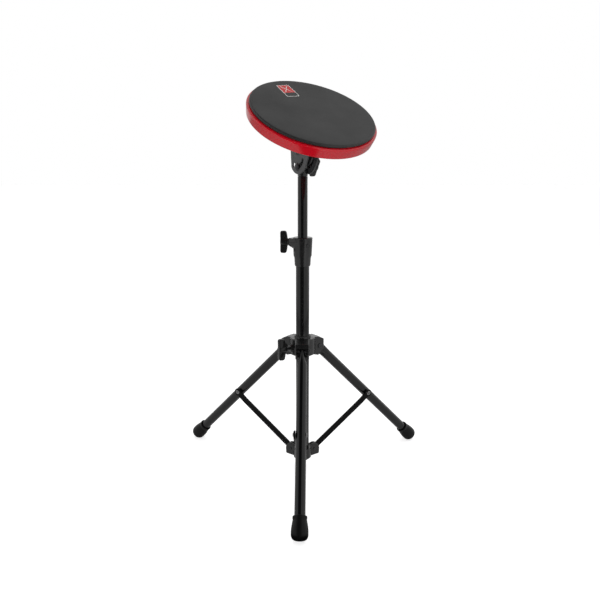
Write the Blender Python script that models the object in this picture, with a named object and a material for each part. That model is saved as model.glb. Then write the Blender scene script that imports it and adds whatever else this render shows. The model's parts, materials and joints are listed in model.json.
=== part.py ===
"""Practice pad on a folding tripod stand.

A round drum practice pad sits on a tilter at the top of a telescopic stand with three folding legs.
The stand's tube is the Z axis of the empty "stand", the front leg points to -Y, and the soles of the
three feet lie on the plane z = 0. The world origin is under the middle of the bounding box.
"""

import math

import bmesh
import bpy
from mathutils import Matrix, Vector

# ---------------------------------------------------------------- driving dimensions, in metres
GAP = 0.0003  # clearance between pieces that touch

PAD_DIAMETER = 0.2032  # red base, at its widest
PAD_BASE_HEIGHT = 0.0167
PAD_BASE_TAPER = 0.0023  # how much smaller the radius is at the bottom
SURFACE_DIAMETER = 0.1958  # black rubber playing surface
SURFACE_THICKNESS = 0.0051
FOAM_THICKNESS = 0.0040
PAD_HEIGHT = 0.0653  # tilt pivot to the top of the red base
PAD_TURN = math.radians(-63.5)  # heading of the pad's low side
PAD_TILT = math.radians(32.4)

EAR_SPACING = 0.0154  # between the inner faces of the bracket's ears
SHEET = 0.0020  # bracket sheet metal
EAR_RADIUS = 0.0324  # bracket's ear below the tilt pivot
EAR_REACH = 0.0370  # and in front of it
SLOT_RADIUS = 0.0232  # from the tilt pivot to the clamp bolt
SLOT_WIDTH = 0.0070
TILT_SLOT = math.radians(90.0)  # travel of the pad from level to upright

MAST_DIAMETER = 0.0160
MAIN_DIAMETER = 0.0220
TUBE_WALL = 0.0012
MAST_LENGTH = 0.3330
MAST_REACH = 0.1344  # top of the collar to the tilt pivot
MAIN_LENGTH = 0.3750

COLLAR_HEIGHT = 0.0470
COLLAR_TOP_WALL = 0.0050  # radius of the collar over that of the main tube
COLLAR_SLEEVE_WALL = 0.0025
COLLAR_SCREW_DROP = 0.0075  # screw axis below the top of the collar
COLLAR_SCREW_TURN = math.radians(180.0)
COLLAR_RIVET_DROP = 0.0124  # rivet below the top of the collar
COLLAR_RIVET_TURN = math.radians(-55.0)

LEG_DIAMETER = 0.0160
LEG_LENGTH = 0.2977  # leg pivot to the end of the foot
LEG_ANGLE = math.radians(45.0)  # from the tube, with the stand open
HUB_PIVOT_REACH = 0.0160  # from the main tube's surface to the leg pivots
HUB_WALL = 0.0105
ARM_WIDTH = 0.0226
CHEEK = 0.0029
HUB_SCREW_TURN = math.radians(210.0)

BRACE_JOINT = 0.1440  # leg pivot to brace rivet
BRACE_LENGTH = 0.1372
BRACE_WIDTH = 0.0098
BRACE_THICKNESS = 0.0030
BRACE_STRAIGHT = 0.0200  # part of the strap, below its rivet, that runs beside the leg
SPIDER_PIVOT_REACH = 0.0110  # from the main tube's surface to the strap pins
SPIDER_WALL = 0.0040
SPIDER_FORK = 0.0038  # inner width of the lower fork

FOOT_LENGTH = 0.0330
FOOT_RADIUS = 0.0124
SOLE_CUT = 0.0009

WING_SPAN = 0.0362
WING_DEPTH = 0.0138
TILT_WING_SPAN = 0.0325
TILT_WING_DEPTH = 0.0142
SCREW_DIAMETER = 0.0050

SIDES = 24  # segments round a tube
ARMS = {"front": math.radians(-90.0), "right": math.radians(30.0), "left": math.radians(150.0)}
BRACE_SIDE = {"front": -1.0, "right": -1.0, "left": 1.0}  # face of the leg that carries the brace

# ---------------------------------------------------------------- derived dimensions
PIN = SCREW_DIAMETER
PIN_HOLE = PIN + 2 * GAP
LEG_R = LEG_DIAMETER / 2
MAIN_R = MAIN_DIAMETER / 2
MAST_R = MAST_DIAMETER / 2
PAD_R = PAD_DIAMETER / 2
EAR_INNER = EAR_SPACING / 2
EAR_OUTER = EAR_INNER + SHEET
FORK_INNER = ARM_WIDTH / 2 - CHEEK
COLLAR_TOP_RADIUS = MAIN_R + COLLAR_TOP_WALL
COLLAR_SLEEVE_RADIUS = MAIN_R + COLLAR_SLEEVE_WALL
HUB_PIVOT_RADIUS = MAIN_R + HUB_PIVOT_REACH
HUB_RADIUS = MAIN_R + HUB_WALL
SPIDER_PIVOT_RADIUS = MAIN_R + SPIDER_PIVOT_REACH
SPIDER_R = MAIN_R + SPIDER_WALL
SHOE_R = PIN / 2 + 0.0011
SHOE_HOLE_R = SHOE_R + 2 * GAP


def foot_profile():
    """Outer profile of the foot: distance from the leg pivot, radius."""
    end = LEG_LENGTH
    top = end - FOOT_LENGTH
    lip = LEG_R + 0.0026
    pts = [(top, lip - 0.0005), (top + 0.0008, lip), (top + 0.0034, lip), (top + 0.0042, LEG_R + 0.0020)]
    pts += [(top + 0.014, FOOT_RADIUS - 0.0014), (top + 0.022, FOOT_RADIUS)]
    for k in range(1, 4):
        a = math.radians(90.0) * k / 3.4
        pts.append((end - 0.0080 + 0.0080 * math.sin(a), FOOT_RADIUS - 0.0056 * (1 - math.cos(a))))
    return pts


def lowest(profile, angle):
    return max(s * math.cos(angle) + r * math.sin(angle) for s, r in profile)


HUB_PIVOT_Z = lowest(foot_profile(), LEG_ANGLE) - SOLE_CUT
RIVET_R = HUB_PIVOT_RADIUS + BRACE_JOINT * math.sin(LEG_ANGLE)
RIVET_Z = HUB_PIVOT_Z - BRACE_JOINT * math.cos(LEG_ANGLE)
BRACE_ANGLE = math.asin((RIVET_R - SPIDER_PIVOT_RADIUS) / BRACE_LENGTH)
SPIDER_PIVOT_Z = RIVET_Z - BRACE_LENGTH * math.cos(BRACE_ANGLE)
MAIN_BOTTOM = SPIDER_PIVOT_Z - 0.0115
MAIN_TOP = MAIN_BOTTOM + MAIN_LENGTH
COLLAR_TOP = MAIN_TOP + 0.0080
COLLAR_SCREW_Z = COLLAR_TOP - COLLAR_SCREW_DROP
PIVOT_Z = COLLAR_TOP + MAST_REACH
HEAD_BOTTOM = PIVOT_Z - max(EAR_RADIUS, EAR_REACH) - 0.0006
MAST_BOTTOM = HEAD_BOTTOM - MAST_LENGTH


# ---------------------------------------------------------------- helpers
def clear_scene():
    for obj in list(bpy.data.objects):
        bpy.data.objects.remove(obj, do_unlink=True)


def material(name, colour, roughness, metallic=0.0):
    mat = bpy.data.materials.get(name)
    if mat is None:
        mat = bpy.data.materials.new(name)
        mat.use_nodes = True
        shader = mat.node_tree.nodes["Principled BSDF"]
        shader.inputs["Base Color"].default_value = (*colour, 1.0)
        shader.inputs["Roughness"].default_value = roughness
        shader.inputs["Metallic"].default_value = metallic
        mat.diffuse_color = (*colour, 1.0)
    return mat


def finish(name, bm):
    """Turns a bmesh into an object that still lies in its own modelling frame."""
    bmesh.ops.recalc_face_normals(bm, faces=bm.faces)
    mesh = bpy.data.meshes.new(name)
    bm.to_mesh(mesh)
    bm.free()
    obj = bpy.data.objects.new(name, mesh)
    bpy.context.scene.collection.objects.link(obj)
    return obj


def lathe(name, profile, sides=SIDES, ring=False):
    """Turns a profile of (radius, height) round Z. A ring profile is closed and stays off the axis."""
    bm = bmesh.new()
    verts = [bm.verts.new((r, 0.0, z)) for r, z in profile]
    edges = [bm.edges.new(pair) for pair in zip(verts, verts[1:])]
    if ring:
        edges.append(bm.edges.new((verts[-1], verts[0])))
    bmesh.ops.spin(bm, geom=verts + edges, cent=(0, 0, 0), axis=(0, 0, 1), angle=math.tau, steps=sides,
                   use_merge=True)
    bmesh.ops.remove_doubles(bm, verts=bm.verts, dist=1e-6)
    return finish(name, bm)


def prism(name, outline, low, high):
    """Extrudes an outline of (x, y) points from z = low to z = high."""
    bm = bmesh.new()
    face = bm.faces.new([bm.verts.new((x, y, low)) for x, y in outline])
    moved = [g for g in bmesh.ops.extrude_face_region(bm, geom=[face])["geom"] if isinstance(g, bmesh.types.BMVert)]
    bmesh.ops.translate(bm, verts=moved, vec=(0, 0, high - low))
    return finish(name, bm)


def plate(name, outline, low, high):
    """Extrudes an outline of (x, z) points from y = low to y = high."""
    obj = prism(name, outline, -high, -low)
    obj.data.transform(Matrix.Rotation(math.pi / 2, 4, "X"))
    return obj


def cylinder(name, radius, low, high, sides=SIDES, axis="Z", at=(0, 0, 0)):
    obj = lathe(name, [(0, low), (radius, low), (radius, high), (0, high)], sides)
    if axis == "X":
        obj.data.transform(Matrix.Rotation(math.pi / 2, 4, "Y"))
    elif axis == "Y":
        obj.data.transform(Matrix.Rotation(-math.pi / 2, 4, "X"))
    obj.data.transform(Matrix.Translation(at))
    return obj


def stepped_hole(depth, turn, z=0.0):
    """Cutter for a screw hole along X whose inner end is widened for the shoe."""
    obj = lathe("hole", [(0, 0), (SHOE_HOLE_R, 0), (SHOE_HOLE_R, depth), (PIN_HOLE / 2, depth), (PIN_HOLE / 2, 0.05),
                         (0, 0.05)], 14)
    turned(obj, Matrix.Rotation(math.pi / 2, 4, "Y"))
    turned(obj, Matrix.Translation((0, 0, z)))
    return turned(obj, Matrix.Rotation(turn, 4, "Z"))


def skin(name, rings):
    """Joins a chain of point rings and closes its two ends."""
    bm = bmesh.new()
    loops = [[bm.verts.new(p) for p in ring] for ring in rings]
    n = len(loops[0])
    for a, b in zip(loops, loops[1:]):
        for k in range(n):
            bm.faces.new((a[k], a[(k + 1) % n], b[(k + 1) % n], b[k]))
    bm.faces.new(loops[0][::-1])
    bm.faces.new(loops[-1])
    return finish(name, bm)


def arc(cx, cy, radius, start, end, steps):
    return [(cx + radius * math.cos(start + (end - start) * k / steps),
             cy + radius * math.sin(start + (end - start) * k / steps)) for k in range(steps + 1)]


def bevel(obj, width, segments=1, angle=50.0):
    """Rounds the edges that are sharper than the angle."""
    bm = bmesh.new()
    bm.from_mesh(obj.data)
    limit = math.radians(angle)
    edges = [e for e in bm.edges if len(e.link_faces) == 2 and e.calc_face_angle() > limit]
    bmesh.ops.bevel(bm, geom=edges, offset=width, segments=segments, profile=0.5, affect="EDGES", material=-1,
                    clamp_overlap=True)
    bm.to_mesh(obj.data)
    bm.free()
    return obj


def combine(obj, others, operation):
    """Applies exact Booleans with the other objects, which are used up."""
    for other in others:
        other.hide_render = True
        other.display_type = "WIRE"
        mod = obj.modifiers.new("Boolean", "BOOLEAN")
        mod.operation = operation
        mod.solver = "EXACT"
        mod.object = other
    bpy.context.view_layer.update()
    graph = bpy.context.evaluated_depsgraph_get()
    mesh = bpy.data.meshes.new_from_object(obj.evaluated_get(graph))
    obj.modifiers.clear()
    obj.data = mesh
    for other in others:
        bpy.data.objects.remove(other, do_unlink=True)
    bm = bmesh.new()
    bm.from_mesh(mesh)
    bmesh.ops.remove_doubles(bm, verts=bm.verts, dist=2e-6)
    bmesh.ops.dissolve_degenerate(bm, edges=bm.edges, dist=1e-6)
    bmesh.ops.dissolve_limit(bm, angle_limit=math.radians(0.5), verts=bm.verts, edges=bm.edges)
    bm.to_mesh(mesh)
    bm.free()
    return obj


def cut(obj, *others):
    return combine(obj, others, "DIFFERENCE")


def join(obj, *others):
    return combine(obj, others, "UNION")


def turned(obj, matrix):
    obj.data.transform(matrix)
    return obj


def empty(name, parent=None, location=(0, 0, 0), rotation=(0, 0, 0)):
    obj = bpy.data.objects.new(name, None)
    obj.empty_display_size = 0.02
    bpy.context.scene.collection.objects.link(obj)
    obj.parent = parent
    obj.location = location
    obj.rotation_euler = rotation
    return obj


def place(obj, parent, mat, location=(0, 0, 0), rotation=(0, 0, 0), smooth=35.0):
    """Gives a finished piece its material and its place."""
    obj.parent = parent
    obj.location = location
    obj.rotation_euler = rotation
    obj.data.name = obj.name
    obj.data.materials.clear()
    obj.data.materials.append(mat)
    obj.data.shade_smooth()
    obj.data.set_sharp_from_angle(angle=math.radians(smooth))
    return obj


def twin(source, name):
    """Another object that shares the source's mesh."""
    obj = bpy.data.objects.new(name, source.data)
    bpy.context.scene.collection.objects.link(obj)
    return obj


def tube_profile(outer, inner, low, high):
    return [(inner, low), (outer, low), (outer, high), (inner, high)]


# ---------------------------------------------------------------- pad and tilter
def build_pad(frame, mats):
    top = PAD_HEIGHT
    low = top - PAD_BASE_HEIGHT
    r_low = PAD_R - PAD_BASE_TAPER
    pocket_r = SURFACE_DIAMETER / 2 - 0.0075
    floor = top - FOAM_THICKNESS - GAP
    profile = [(0, low), (r_low - 0.0012, low), (r_low, low + 0.0014)]
    profile += [(PAD_R, top - 0.0034), (PAD_R - 0.0004, top - 0.0014), (PAD_R - 0.0022, top)]
    profile += [(pocket_r, top), (pocket_r, floor), (0, floor)]
    base = lathe("pad_base", profile, 56)
    holes = []
    for k, (x, y) in enumerate(screw_places()):
        holes.append(cylinder("hole", 0.0019, low - 0.001, low + 0.0095, 8, at=(x, y, 0)))
    cut(base, *holes)
    place(base, frame, mats["red"])

    foam = lathe("foam_layer", [(0, floor + GAP), (pocket_r - GAP, floor + GAP), (pocket_r - GAP, top),
                                (0, top)], 40)
    place(foam, frame, mats["foam"])

    r = SURFACE_DIAMETER / 2
    s0 = top + GAP
    s1 = s0 + SURFACE_THICKNESS
    e = 0.0026
    edge = [(r - e + e * math.sin(a), s1 - e + e * math.cos(a)) for a in
            [math.radians(x) for x in (90, 50, 20, 0)]]
    surface = lathe("playing_surface", [(0, s0), (r - 0.0012, s0), (r, s0 + 0.0010)] + edge + [(0, s1)], 56)
    place(surface, frame, mats["rubber"])


def screw_places():
    return [(x, y) for x in (-0.0220, 0.0280) for y in (-0.0170, 0.0170)]


def ear_outline(top):
    """One ear of the bracket, in the plane of tilt, with the tilt pivot at (0, 0)."""
    pts = [(-0.0240, top), (-0.0215, -0.0120)]
    for k in range(13):
        share = k / 12
        a = math.radians(-100.0 + 100.0 * share)
        r = EAR_RADIUS + (EAR_REACH - EAR_RADIUS) * share
        pts.append((r * math.cos(a), r * math.sin(a)))
    return pts + [(EAR_REACH, top)]


def slot_outline():
    """Curved slot round the tilt pivot: the clamp bolt runs along it as the pad tilts."""
    down = -math.pi / 2
    half = SLOT_WIDTH / 2
    first, last = down, down + TILT_SLOT
    outer = arc(0, 0, SLOT_RADIUS + half, first, last, 9)
    inner = arc(0, 0, SLOT_RADIUS - half, last, first, 8)
    ex, ey = SLOT_RADIUS * math.cos(last), SLOT_RADIUS * math.sin(last)
    sx, sy = SLOT_RADIUS * math.cos(first), SLOT_RADIUS * math.sin(first)
    cap_end = arc(ex, ey, half, last, last + math.pi, 5)[1:-1]
    cap_start = arc(sx, sy, half, first + math.pi, first + math.tau, 5)[1:-1]
    return outer + cap_end + inner + cap_start


def build_bracket(frame, mats):
    top = PAD_HEIGHT - PAD_BASE_HEIGHT - GAP
    plate_low = top - SHEET
    x0, x1, half = -0.0290, EAR_REACH + 0.0010, 0.0235
    c = 0.0060
    outline = [(x0 + c, -half), (x1 - c, -half), (x1, -half + c), (x1, half - c), (x1 - c, half),
               (x0 + c, half), (x0, half - c), (x0, -half + c)]
    bracket = prism("tilt_bracket", outline, plate_low, top)
    ears = [plate("ear", ear_outline(top - 0.0004), s * EAR_INNER if s > 0 else -EAR_OUTER,
                  EAR_OUTER if s > 0 else -EAR_INNER) for s in (-1, 1)]
    join(bracket, *ears)
    cutters = [plate("slot", slot_outline(), -0.03, 0.03)]
    cutters.append(cylinder("hole", PIN_HOLE / 2 + 0.0005, -0.03, 0.03, 16, "Y"))
    for x, y in screw_places():
        cutters.append(cylinder("hole", 0.0021, plate_low - 0.001, top + 0.001, 8, at=(x, y, 0)))
    cut(bracket, *cutters)
    place(bracket, frame, mats["bracket"])

    shank_top = PAD_HEIGHT - PAD_BASE_HEIGHT + 0.0085
    head_top = plate_low - GAP
    profile = [(0, head_top - 0.0022), (0.0024, head_top - 0.0019), (0.0036, head_top - 0.0008),
               (0.0036, head_top), (0.0015, head_top), (0.0015, shank_top - 0.001), (0.0004, shank_top),
               (0, shank_top)]
    screw = None
    for k, (x, y) in enumerate(screw_places()):
        name = "bracket_screw_%d" % (k + 1)
        if screw is None:
            screw = lathe(name, profile, 10)
            cross = [prism("drive", [(-a, -b), (a, -b), (a, b), (-a, b)], head_top - 0.003, head_top - 0.0012)
                     for a, b in ((0.0017, 0.0004), (0.0004, 0.0017))]
            cut(screw, *cross)
            obj = screw
        else:
            obj = twin(screw, name)
        place(obj, frame, mats["steel"], location=(x, y, 0))


def build_mast(turn, tilt_axis, mats):
    """The upper tube, its nylon guide, the head that carries the tilter, and the tilter's bolts."""
    tube = lathe("upper_tube", tube_profile(MAST_R, MAST_R - TUBE_WALL, MAST_BOTTOM, HEAD_BOTTOM - GAP),
                 SIDES, ring=True)
    place(tube, turn, mats["tube"])

    flat = EAR_INNER - GAP - 0.0001
    spigot = MAST_R - TUBE_WALL - GAP
    z0 = HEAD_BOTTOM - PIVOT_Z
    top = 0.0105
    head = lathe("mast_head", [(0, z0 - 0.018), (spigot - 0.001, z0 - 0.018), (spigot, z0 - 0.017),
                               (spigot, z0), (MAST_R, z0), (MAST_R, top), (0, top)], SIDES)
    round_top = plate("round", arc(0, 0, 0.0104, 0, math.pi, 10) + [(-0.0104, z0 - 0.03), (0.0104, z0 - 0.03)],
                      -flat, flat)
    combine(head, [round_top], "INTERSECT")
    cut(head, cylinder("hole", PIN_HOLE / 2, -0.02, 0.02, 16, "Y"),
        cylinder("hole", PIN_HOLE / 2, -0.02, 0.02, 16, "Y", at=(0, 0, -SLOT_RADIUS)))
    place(head, tilt_axis, mats["plastic"])

    rivet = lathe("tilt_pivot_pin", [
        (0, -EAR_OUTER - 0.0020), (0.0032, -EAR_OUTER - 0.0018), (0.0050, -EAR_OUTER - GAP),
        (PIN / 2, -EAR_OUTER - GAP), (PIN / 2, EAR_OUTER + GAP), (0.0050, EAR_OUTER + GAP),
        (0.0032, EAR_OUTER + 0.0018), (0, EAR_OUTER + 0.0020)], 16)
    turned(rivet, Matrix.Rotation(-math.pi / 2, 4, "X"))
    place(rivet, tilt_axis, mats["steel"])

    tip = EAR_OUTER + 0.0032 + TILT_WING_DEPTH
    bolt = lathe("clamp_bolt", [
        (0, -EAR_OUTER - 0.0034), (0.0036, -EAR_OUTER - 0.0030), (0.0060, -EAR_OUTER - 0.0016),
        (0.0065, -EAR_OUTER - GAP), (PIN / 2, -EAR_OUTER - GAP), (PIN / 2, tip), (0, tip)], 16)
    turned(bolt, Matrix.Rotation(-math.pi / 2, 4, "X"))
    place(bolt, tilt_axis, mats["steel"], location=(0, 0, -SLOT_RADIUS))


def build_guide(slide, mats):
    outer = MAIN_R - TUBE_WALL - GAP
    z = MAST_BOTTOM
    guide = lathe("mast_guide", [
        (MAST_R - 0.0028, z - 0.0030), (outer, z - 0.0030), (outer, z + 0.0200),
        (MAST_R + GAP, z + 0.0200), (MAST_R + GAP, z - GAP), (MAST_R - 0.0028, z - GAP)], SIDES, ring=True)
    place(guide, slide, mats["nylon"])


# ---------------------------------------------------------------- wing screws, along +X of their frame
def wing(name, span, depth, thick):
    """Wing head: its hub starts at x = 0 and the wings lie along Z."""
    h = span / 2
    outline = [(0.0006, 0.0046), (0.0020, 0.0060), (depth * 0.20, h - 0.0042), (depth * 0.30, h - 0.0006),
               (depth * 0.44, h), (depth * 0.86, h - 0.0003), (depth, h - 0.0026)]
    outline = [(x, -z) for x, z in outline] + outline[::-1]
    body = plate(name, outline, -thick / 2, thick / 2)
    bevel(body, 0.0011, 1, 40)
    hub = lathe("hub", [(0, 0), (0.0056, 0), (0.0061, 0.0030), (0.0056, depth - 0.0012), (0.0044, depth),
                        (0, depth)], 14)
    turned(hub, Matrix.Rotation(math.pi / 2, 4, "Y"))
    return join(body, hub)


def build_wing_screw(prefix, parent, turn, at_z, seat, tip, mats, mat):
    """A wing screw whose shoe bears on a tube. seat is where its head starts, tip is the shoe's face."""
    slide = empty(prefix + "_screw_axis", parent, (0, 0, at_z), (0, 0, turn))
    shoe = lathe(prefix + "_shoe", [(0, tip), (SHOE_R, tip), (SHOE_R, tip + 0.0022), (PIN / 2 + GAP, tip + 0.0022),
                                    (PIN / 2 + GAP, tip + 0.0012), (0, tip + 0.0012)], 12)
    turned(shoe, Matrix.Rotation(math.pi / 2, 4, "Y"))
    place(shoe, slide, mats["nylon"])
    stud_tip = tip + 0.0012 + GAP
    stud = lathe(prefix + "_stud", [(0, stud_tip), (PIN / 2 - 0.0005, stud_tip), (PIN / 2, stud_tip + 0.0005),
                                    (PIN / 2, seat + 0.0070), (0, seat + 0.0070)], 12)
    turned(stud, Matrix.Rotation(math.pi / 2, 4, "Y"))
    place(stud, slide, mats["steel"])
    knob = wing(prefix + "_knob", WING_SPAN, WING_DEPTH, 0.0086)
    turned(knob, Matrix.Translation((seat, 0, 0)))
    cut(knob, cylinder("hole", PIN_HOLE / 2, seat - 0.001, seat + 0.0070 + GAP, 16, "X"))
    place(knob, slide, mat)


def build_tilt_screw(tilt_axis, mats):
    """Washer and wing nut on the clamp bolt, beyond the far ear."""
    frame = empty("tilt_screw_axis", tilt_axis, (0, 0, -SLOT_RADIUS), (math.radians(38.0), 0, math.pi / 2))
    x = EAR_OUTER + GAP
    washer = lathe("tilt_washer", tube_profile(0.0064, PIN_HOLE / 2, x, x + 0.0012), 20, ring=True)
    turned(washer, Matrix.Rotation(math.pi / 2, 4, "Y"))
    place(washer, frame, mats["steel"])
    x += 0.0012 + GAP
    knob = wing("tilt_knob", TILT_WING_SPAN, TILT_WING_DEPTH, 0.0098)
    turned(knob, Matrix.Translation((x, 0, 0)))
    cut(knob, cylinder("hole", SHOE_HOLE_R, x - 0.001, x + 0.0050, 6, "X"),
        cylinder("hole", PIN_HOLE / 2, x - 0.001, x + 0.02, 16, "X"))
    place(knob, frame, mats["plastic"])
    nut = cylinder("tilt_nut", SHOE_HOLE_R - GAP, x + 0.0002, x + 0.0047, 6)
    cut(nut, cylinder("hole", PIN_HOLE / 2, x - 0.01, x + 0.02, 16))
    turned(nut, Matrix.Rotation(math.pi / 2, 4, "Y"))
    place(nut, frame, mats["steel"], smooth=20.0)


# ---------------------------------------------------------------- column
def build_column(stand, mats):
    main = lathe("main_tube", tube_profile(MAIN_R, MAIN_R - TUBE_WALL, MAIN_BOTTOM, MAIN_TOP), SIDES, ring=True)
    window = cylinder("hole", SHOE_HOLE_R, 0.0, 0.03, 16, "X", at=(0, 0, COLLAR_SCREW_Z))
    turned(window, Matrix.Rotation(COLLAR_SCREW_TURN, 4, "Z"))
    screw_hole = cylinder("hole", 0.0019, 0.0, 0.03, 12, "X", at=(0, 0, MAIN_BOTTOM + 0.0125))
    turned(screw_hole, Matrix.Rotation(math.radians(90.0), 4, "Z"))
    rivet_hole = cylinder("hole", 0.0019, 0.0, 0.03, 12, "X", at=(0, 0, COLLAR_TOP - COLLAR_RIVET_DROP))
    turned(rivet_hole, Matrix.Rotation(COLLAR_RIVET_TURN, 4, "Z"))
    cut(main, window, screw_hole, rivet_hole)
    place(main, stand, mats["tube"])

    plug_r = MAIN_R - TUBE_WALL - GAP
    b = MAIN_BOTTOM
    plug = lathe("tube_end_plug", [(0, b - 0.0030), (MAIN_R - 0.0010, b - 0.0030), (MAIN_R, b - 0.0020),
                                   (MAIN_R, b - GAP), (plug_r, b - GAP), (plug_r, b + 0.0070), (0, b + 0.0070)],
                 SIDES)
    place(plug, stand, mats["plastic"])


def build_collar(stand, mats):
    t = COLLAR_TOP
    b = t - COLLAR_HEIGHT
    s = t - 0.0300
    sleeve, top_r = COLLAR_SLEEVE_RADIUS, COLLAR_TOP_RADIUS
    body = lathe("height_collar", [
        (0, b), (sleeve - 0.0014, b), (sleeve - 0.0006, b + 0.0018), (sleeve, s - 0.0030), (top_r - 0.0012, s),
        (top_r, t - 0.0010), (top_r - 0.0010, t), (0, t)], 28)
    z = COLLAR_SCREW_Z
    boss = lathe("boss", [(0, 0.0), (0.0150, 0.0), (0.0125, top_r - 0.0035), (0.0070, top_r + 0.0054),
                          (0.0064, top_r + 0.0062), (0, top_r + 0.0062)], 18)
    turned(boss, Matrix.Rotation(math.pi / 2, 4, "Y"))
    turned(boss, Matrix.Translation((0, 0, z)))
    turned(boss, Matrix.Rotation(COLLAR_SCREW_TURN, 4, "Z"))
    trim = prism("trim", [(-0.05, -0.05), (0.05, -0.05), (0.05, 0.05), (-0.05, 0.05)], t - 0.0013, t + 0.03)
    cut(boss, trim)
    join(body, boss)
    hole = stepped_hole(MAIN_R + 0.0022, COLLAR_SCREW_TURN, z)
    dish = lathe("hole", [(0, 0), (0.0019, 0), (0.0019, top_r - 0.0012), (0.0036, top_r - 0.0012), (0.0036, 0.03),
                          (0, 0.03)], 12)
    turned(dish, Matrix.Rotation(math.pi / 2, 4, "Y"))
    turned(dish, Matrix.Translation((0, 0, t - COLLAR_RIVET_DROP)))
    turned(dish, Matrix.Rotation(COLLAR_RIVET_TURN, 4, "Z"))
    bore = lathe("bore", [(0, b - 0.01), (MAIN_R + GAP, b - 0.01), (MAIN_R + GAP, MAIN_TOP + GAP),
                          (MAST_R + GAP, MAIN_TOP + GAP), (MAST_R + GAP, t + 0.01), (0, t + 0.01)], SIDES)
    cut(body, bore, hole, dish)
    place(body, stand, mats["plastic"])

    head = top_r - 0.0012 + GAP
    inner = MAIN_R - TUBE_WALL - 0.0006
    rivet = lathe("collar_rivet", [(0, inner), (0.0016, inner), (0.0016, head), (0.0032, head),
                                   (0.0028, head + 0.0009), (0, head + 0.0011)], 14)
    turned(rivet, Matrix.Rotation(math.pi / 2, 4, "Y"))
    frame = empty("collar_rivet_axis", stand, (0, 0, t - COLLAR_RIVET_DROP), (0, 0, COLLAR_RIVET_TURN))
    place(rivet, frame, mats["plastic"])


def build_spider(stand, mats):
    """Fixed lower bracket with three narrow forks for the braces."""
    z0, z1 = SPIDER_PIVOT_Z - 0.0120, SPIDER_PIVOT_Z + 0.0060
    core = lathe("lower_spider", [(0, z0 + 0.0008), (SPIDER_R - 0.0008, z0 + 0.0008), (SPIDER_R, z0 + 0.0016), (SPIDER_R, z1),
                                  (SPIDER_R - 0.0008, z1 + 0.0008), (0, z1 + 0.0008)], 24)
    half = SPIDER_FORK / 2 + 0.0026
    pivot = SPIDER_PIVOT_RADIUS
    outer = pivot + 0.0090
    arms, cutters = [], []
    for turn in ARMS.values():
        outline = [(0.0080, z0), (outer - 0.0012, z0 + 0.0018), (outer, z0 + 0.0030), (outer + 0.0006, SPIDER_PIVOT_Z)]
        outline += arc(pivot - 0.0008, SPIDER_PIVOT_Z + 0.0008, 0.0102, 0.0, math.radians(140), 6)
        outline += [(0.0080, z1 - 0.0005)]
        arm = plate("arm", outline, -half, half)
        bevel(arm, 0.0006, 1, 60)
        arms.append(turned(arm, Matrix.Rotation(turn, 4, "Z")))
        inner = MAIN_R + 0.0034
        slot = plate("slot", [(inner, z0 + 0.0035), (outer + 0.01, z0 + 0.0035), (outer + 0.01, z1 + 0.03),
                              (inner, z1 + 0.03)], -SPIDER_FORK / 2, SPIDER_FORK / 2)
        cutters.append(turned(slot, Matrix.Rotation(turn, 4, "Z")))
        pin = cylinder("hole", 0.0021, -0.02, 0.02, 10, "Y", at=(pivot, 0, SPIDER_PIVOT_Z))
        cutters.append(turned(pin, Matrix.Rotation(turn, 4, "Z")))
    join(core, *arms)
    cutters.append(cylinder("bore", MAIN_R + GAP, z0 - 0.02, z1 + 0.02, SIDES))
    hole = cylinder("hole", 0.0019, 0.0, 0.04, 12, "X", at=(0, 0, MAIN_BOTTOM + 0.0125))
    cutters.append(turned(hole, Matrix.Rotation(math.radians(90.0), 4, "Z")))
    cut(core, *cutters)
    place(core, stand, mats["plastic"])

    seat = SPIDER_R + GAP
    screw = lathe("spider_screw", [(0, MAIN_R - TUBE_WALL - 0.0008), (0.0016, MAIN_R - TUBE_WALL - 0.0008),
                                   (0.0016, seat), (0.0034, seat), (0.0032, seat + 0.0010),
                                   (0.0018, seat + 0.0018), (0, seat + 0.0020)], 14)
    turned(screw, Matrix.Rotation(math.pi / 2, 4, "Y"))
    frame = empty("spider_screw_axis", stand, (0, 0, MAIN_BOTTOM + 0.0125), (0, 0, math.radians(90.0)))
    place(screw, frame, mats["steel"])

    pin = None
    for key, turn in ARMS.items():
        frame = empty("brace_axis_" + key, stand, (pivot * math.cos(turn), pivot * math.sin(turn), SPIDER_PIVOT_Z),
                      (0, 0, turn))
        name = "brace_pin_" + key
        if pin is None:
            e = half + GAP
            pin = lathe(name, [(0, -e - 0.0010), (0.0024, -e - 0.0008), (0.0030, -e), (0.0018, -e), (0.0018, e),
                               (0.0030, e), (0.0024, e + 0.0008), (0, e + 0.0010)], 10)
            turned(pin, Matrix.Rotation(-math.pi / 2, 4, "X"))
            obj = pin
        else:
            obj = twin(pin, name)
        place(obj, frame, mats["steel"])


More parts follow.
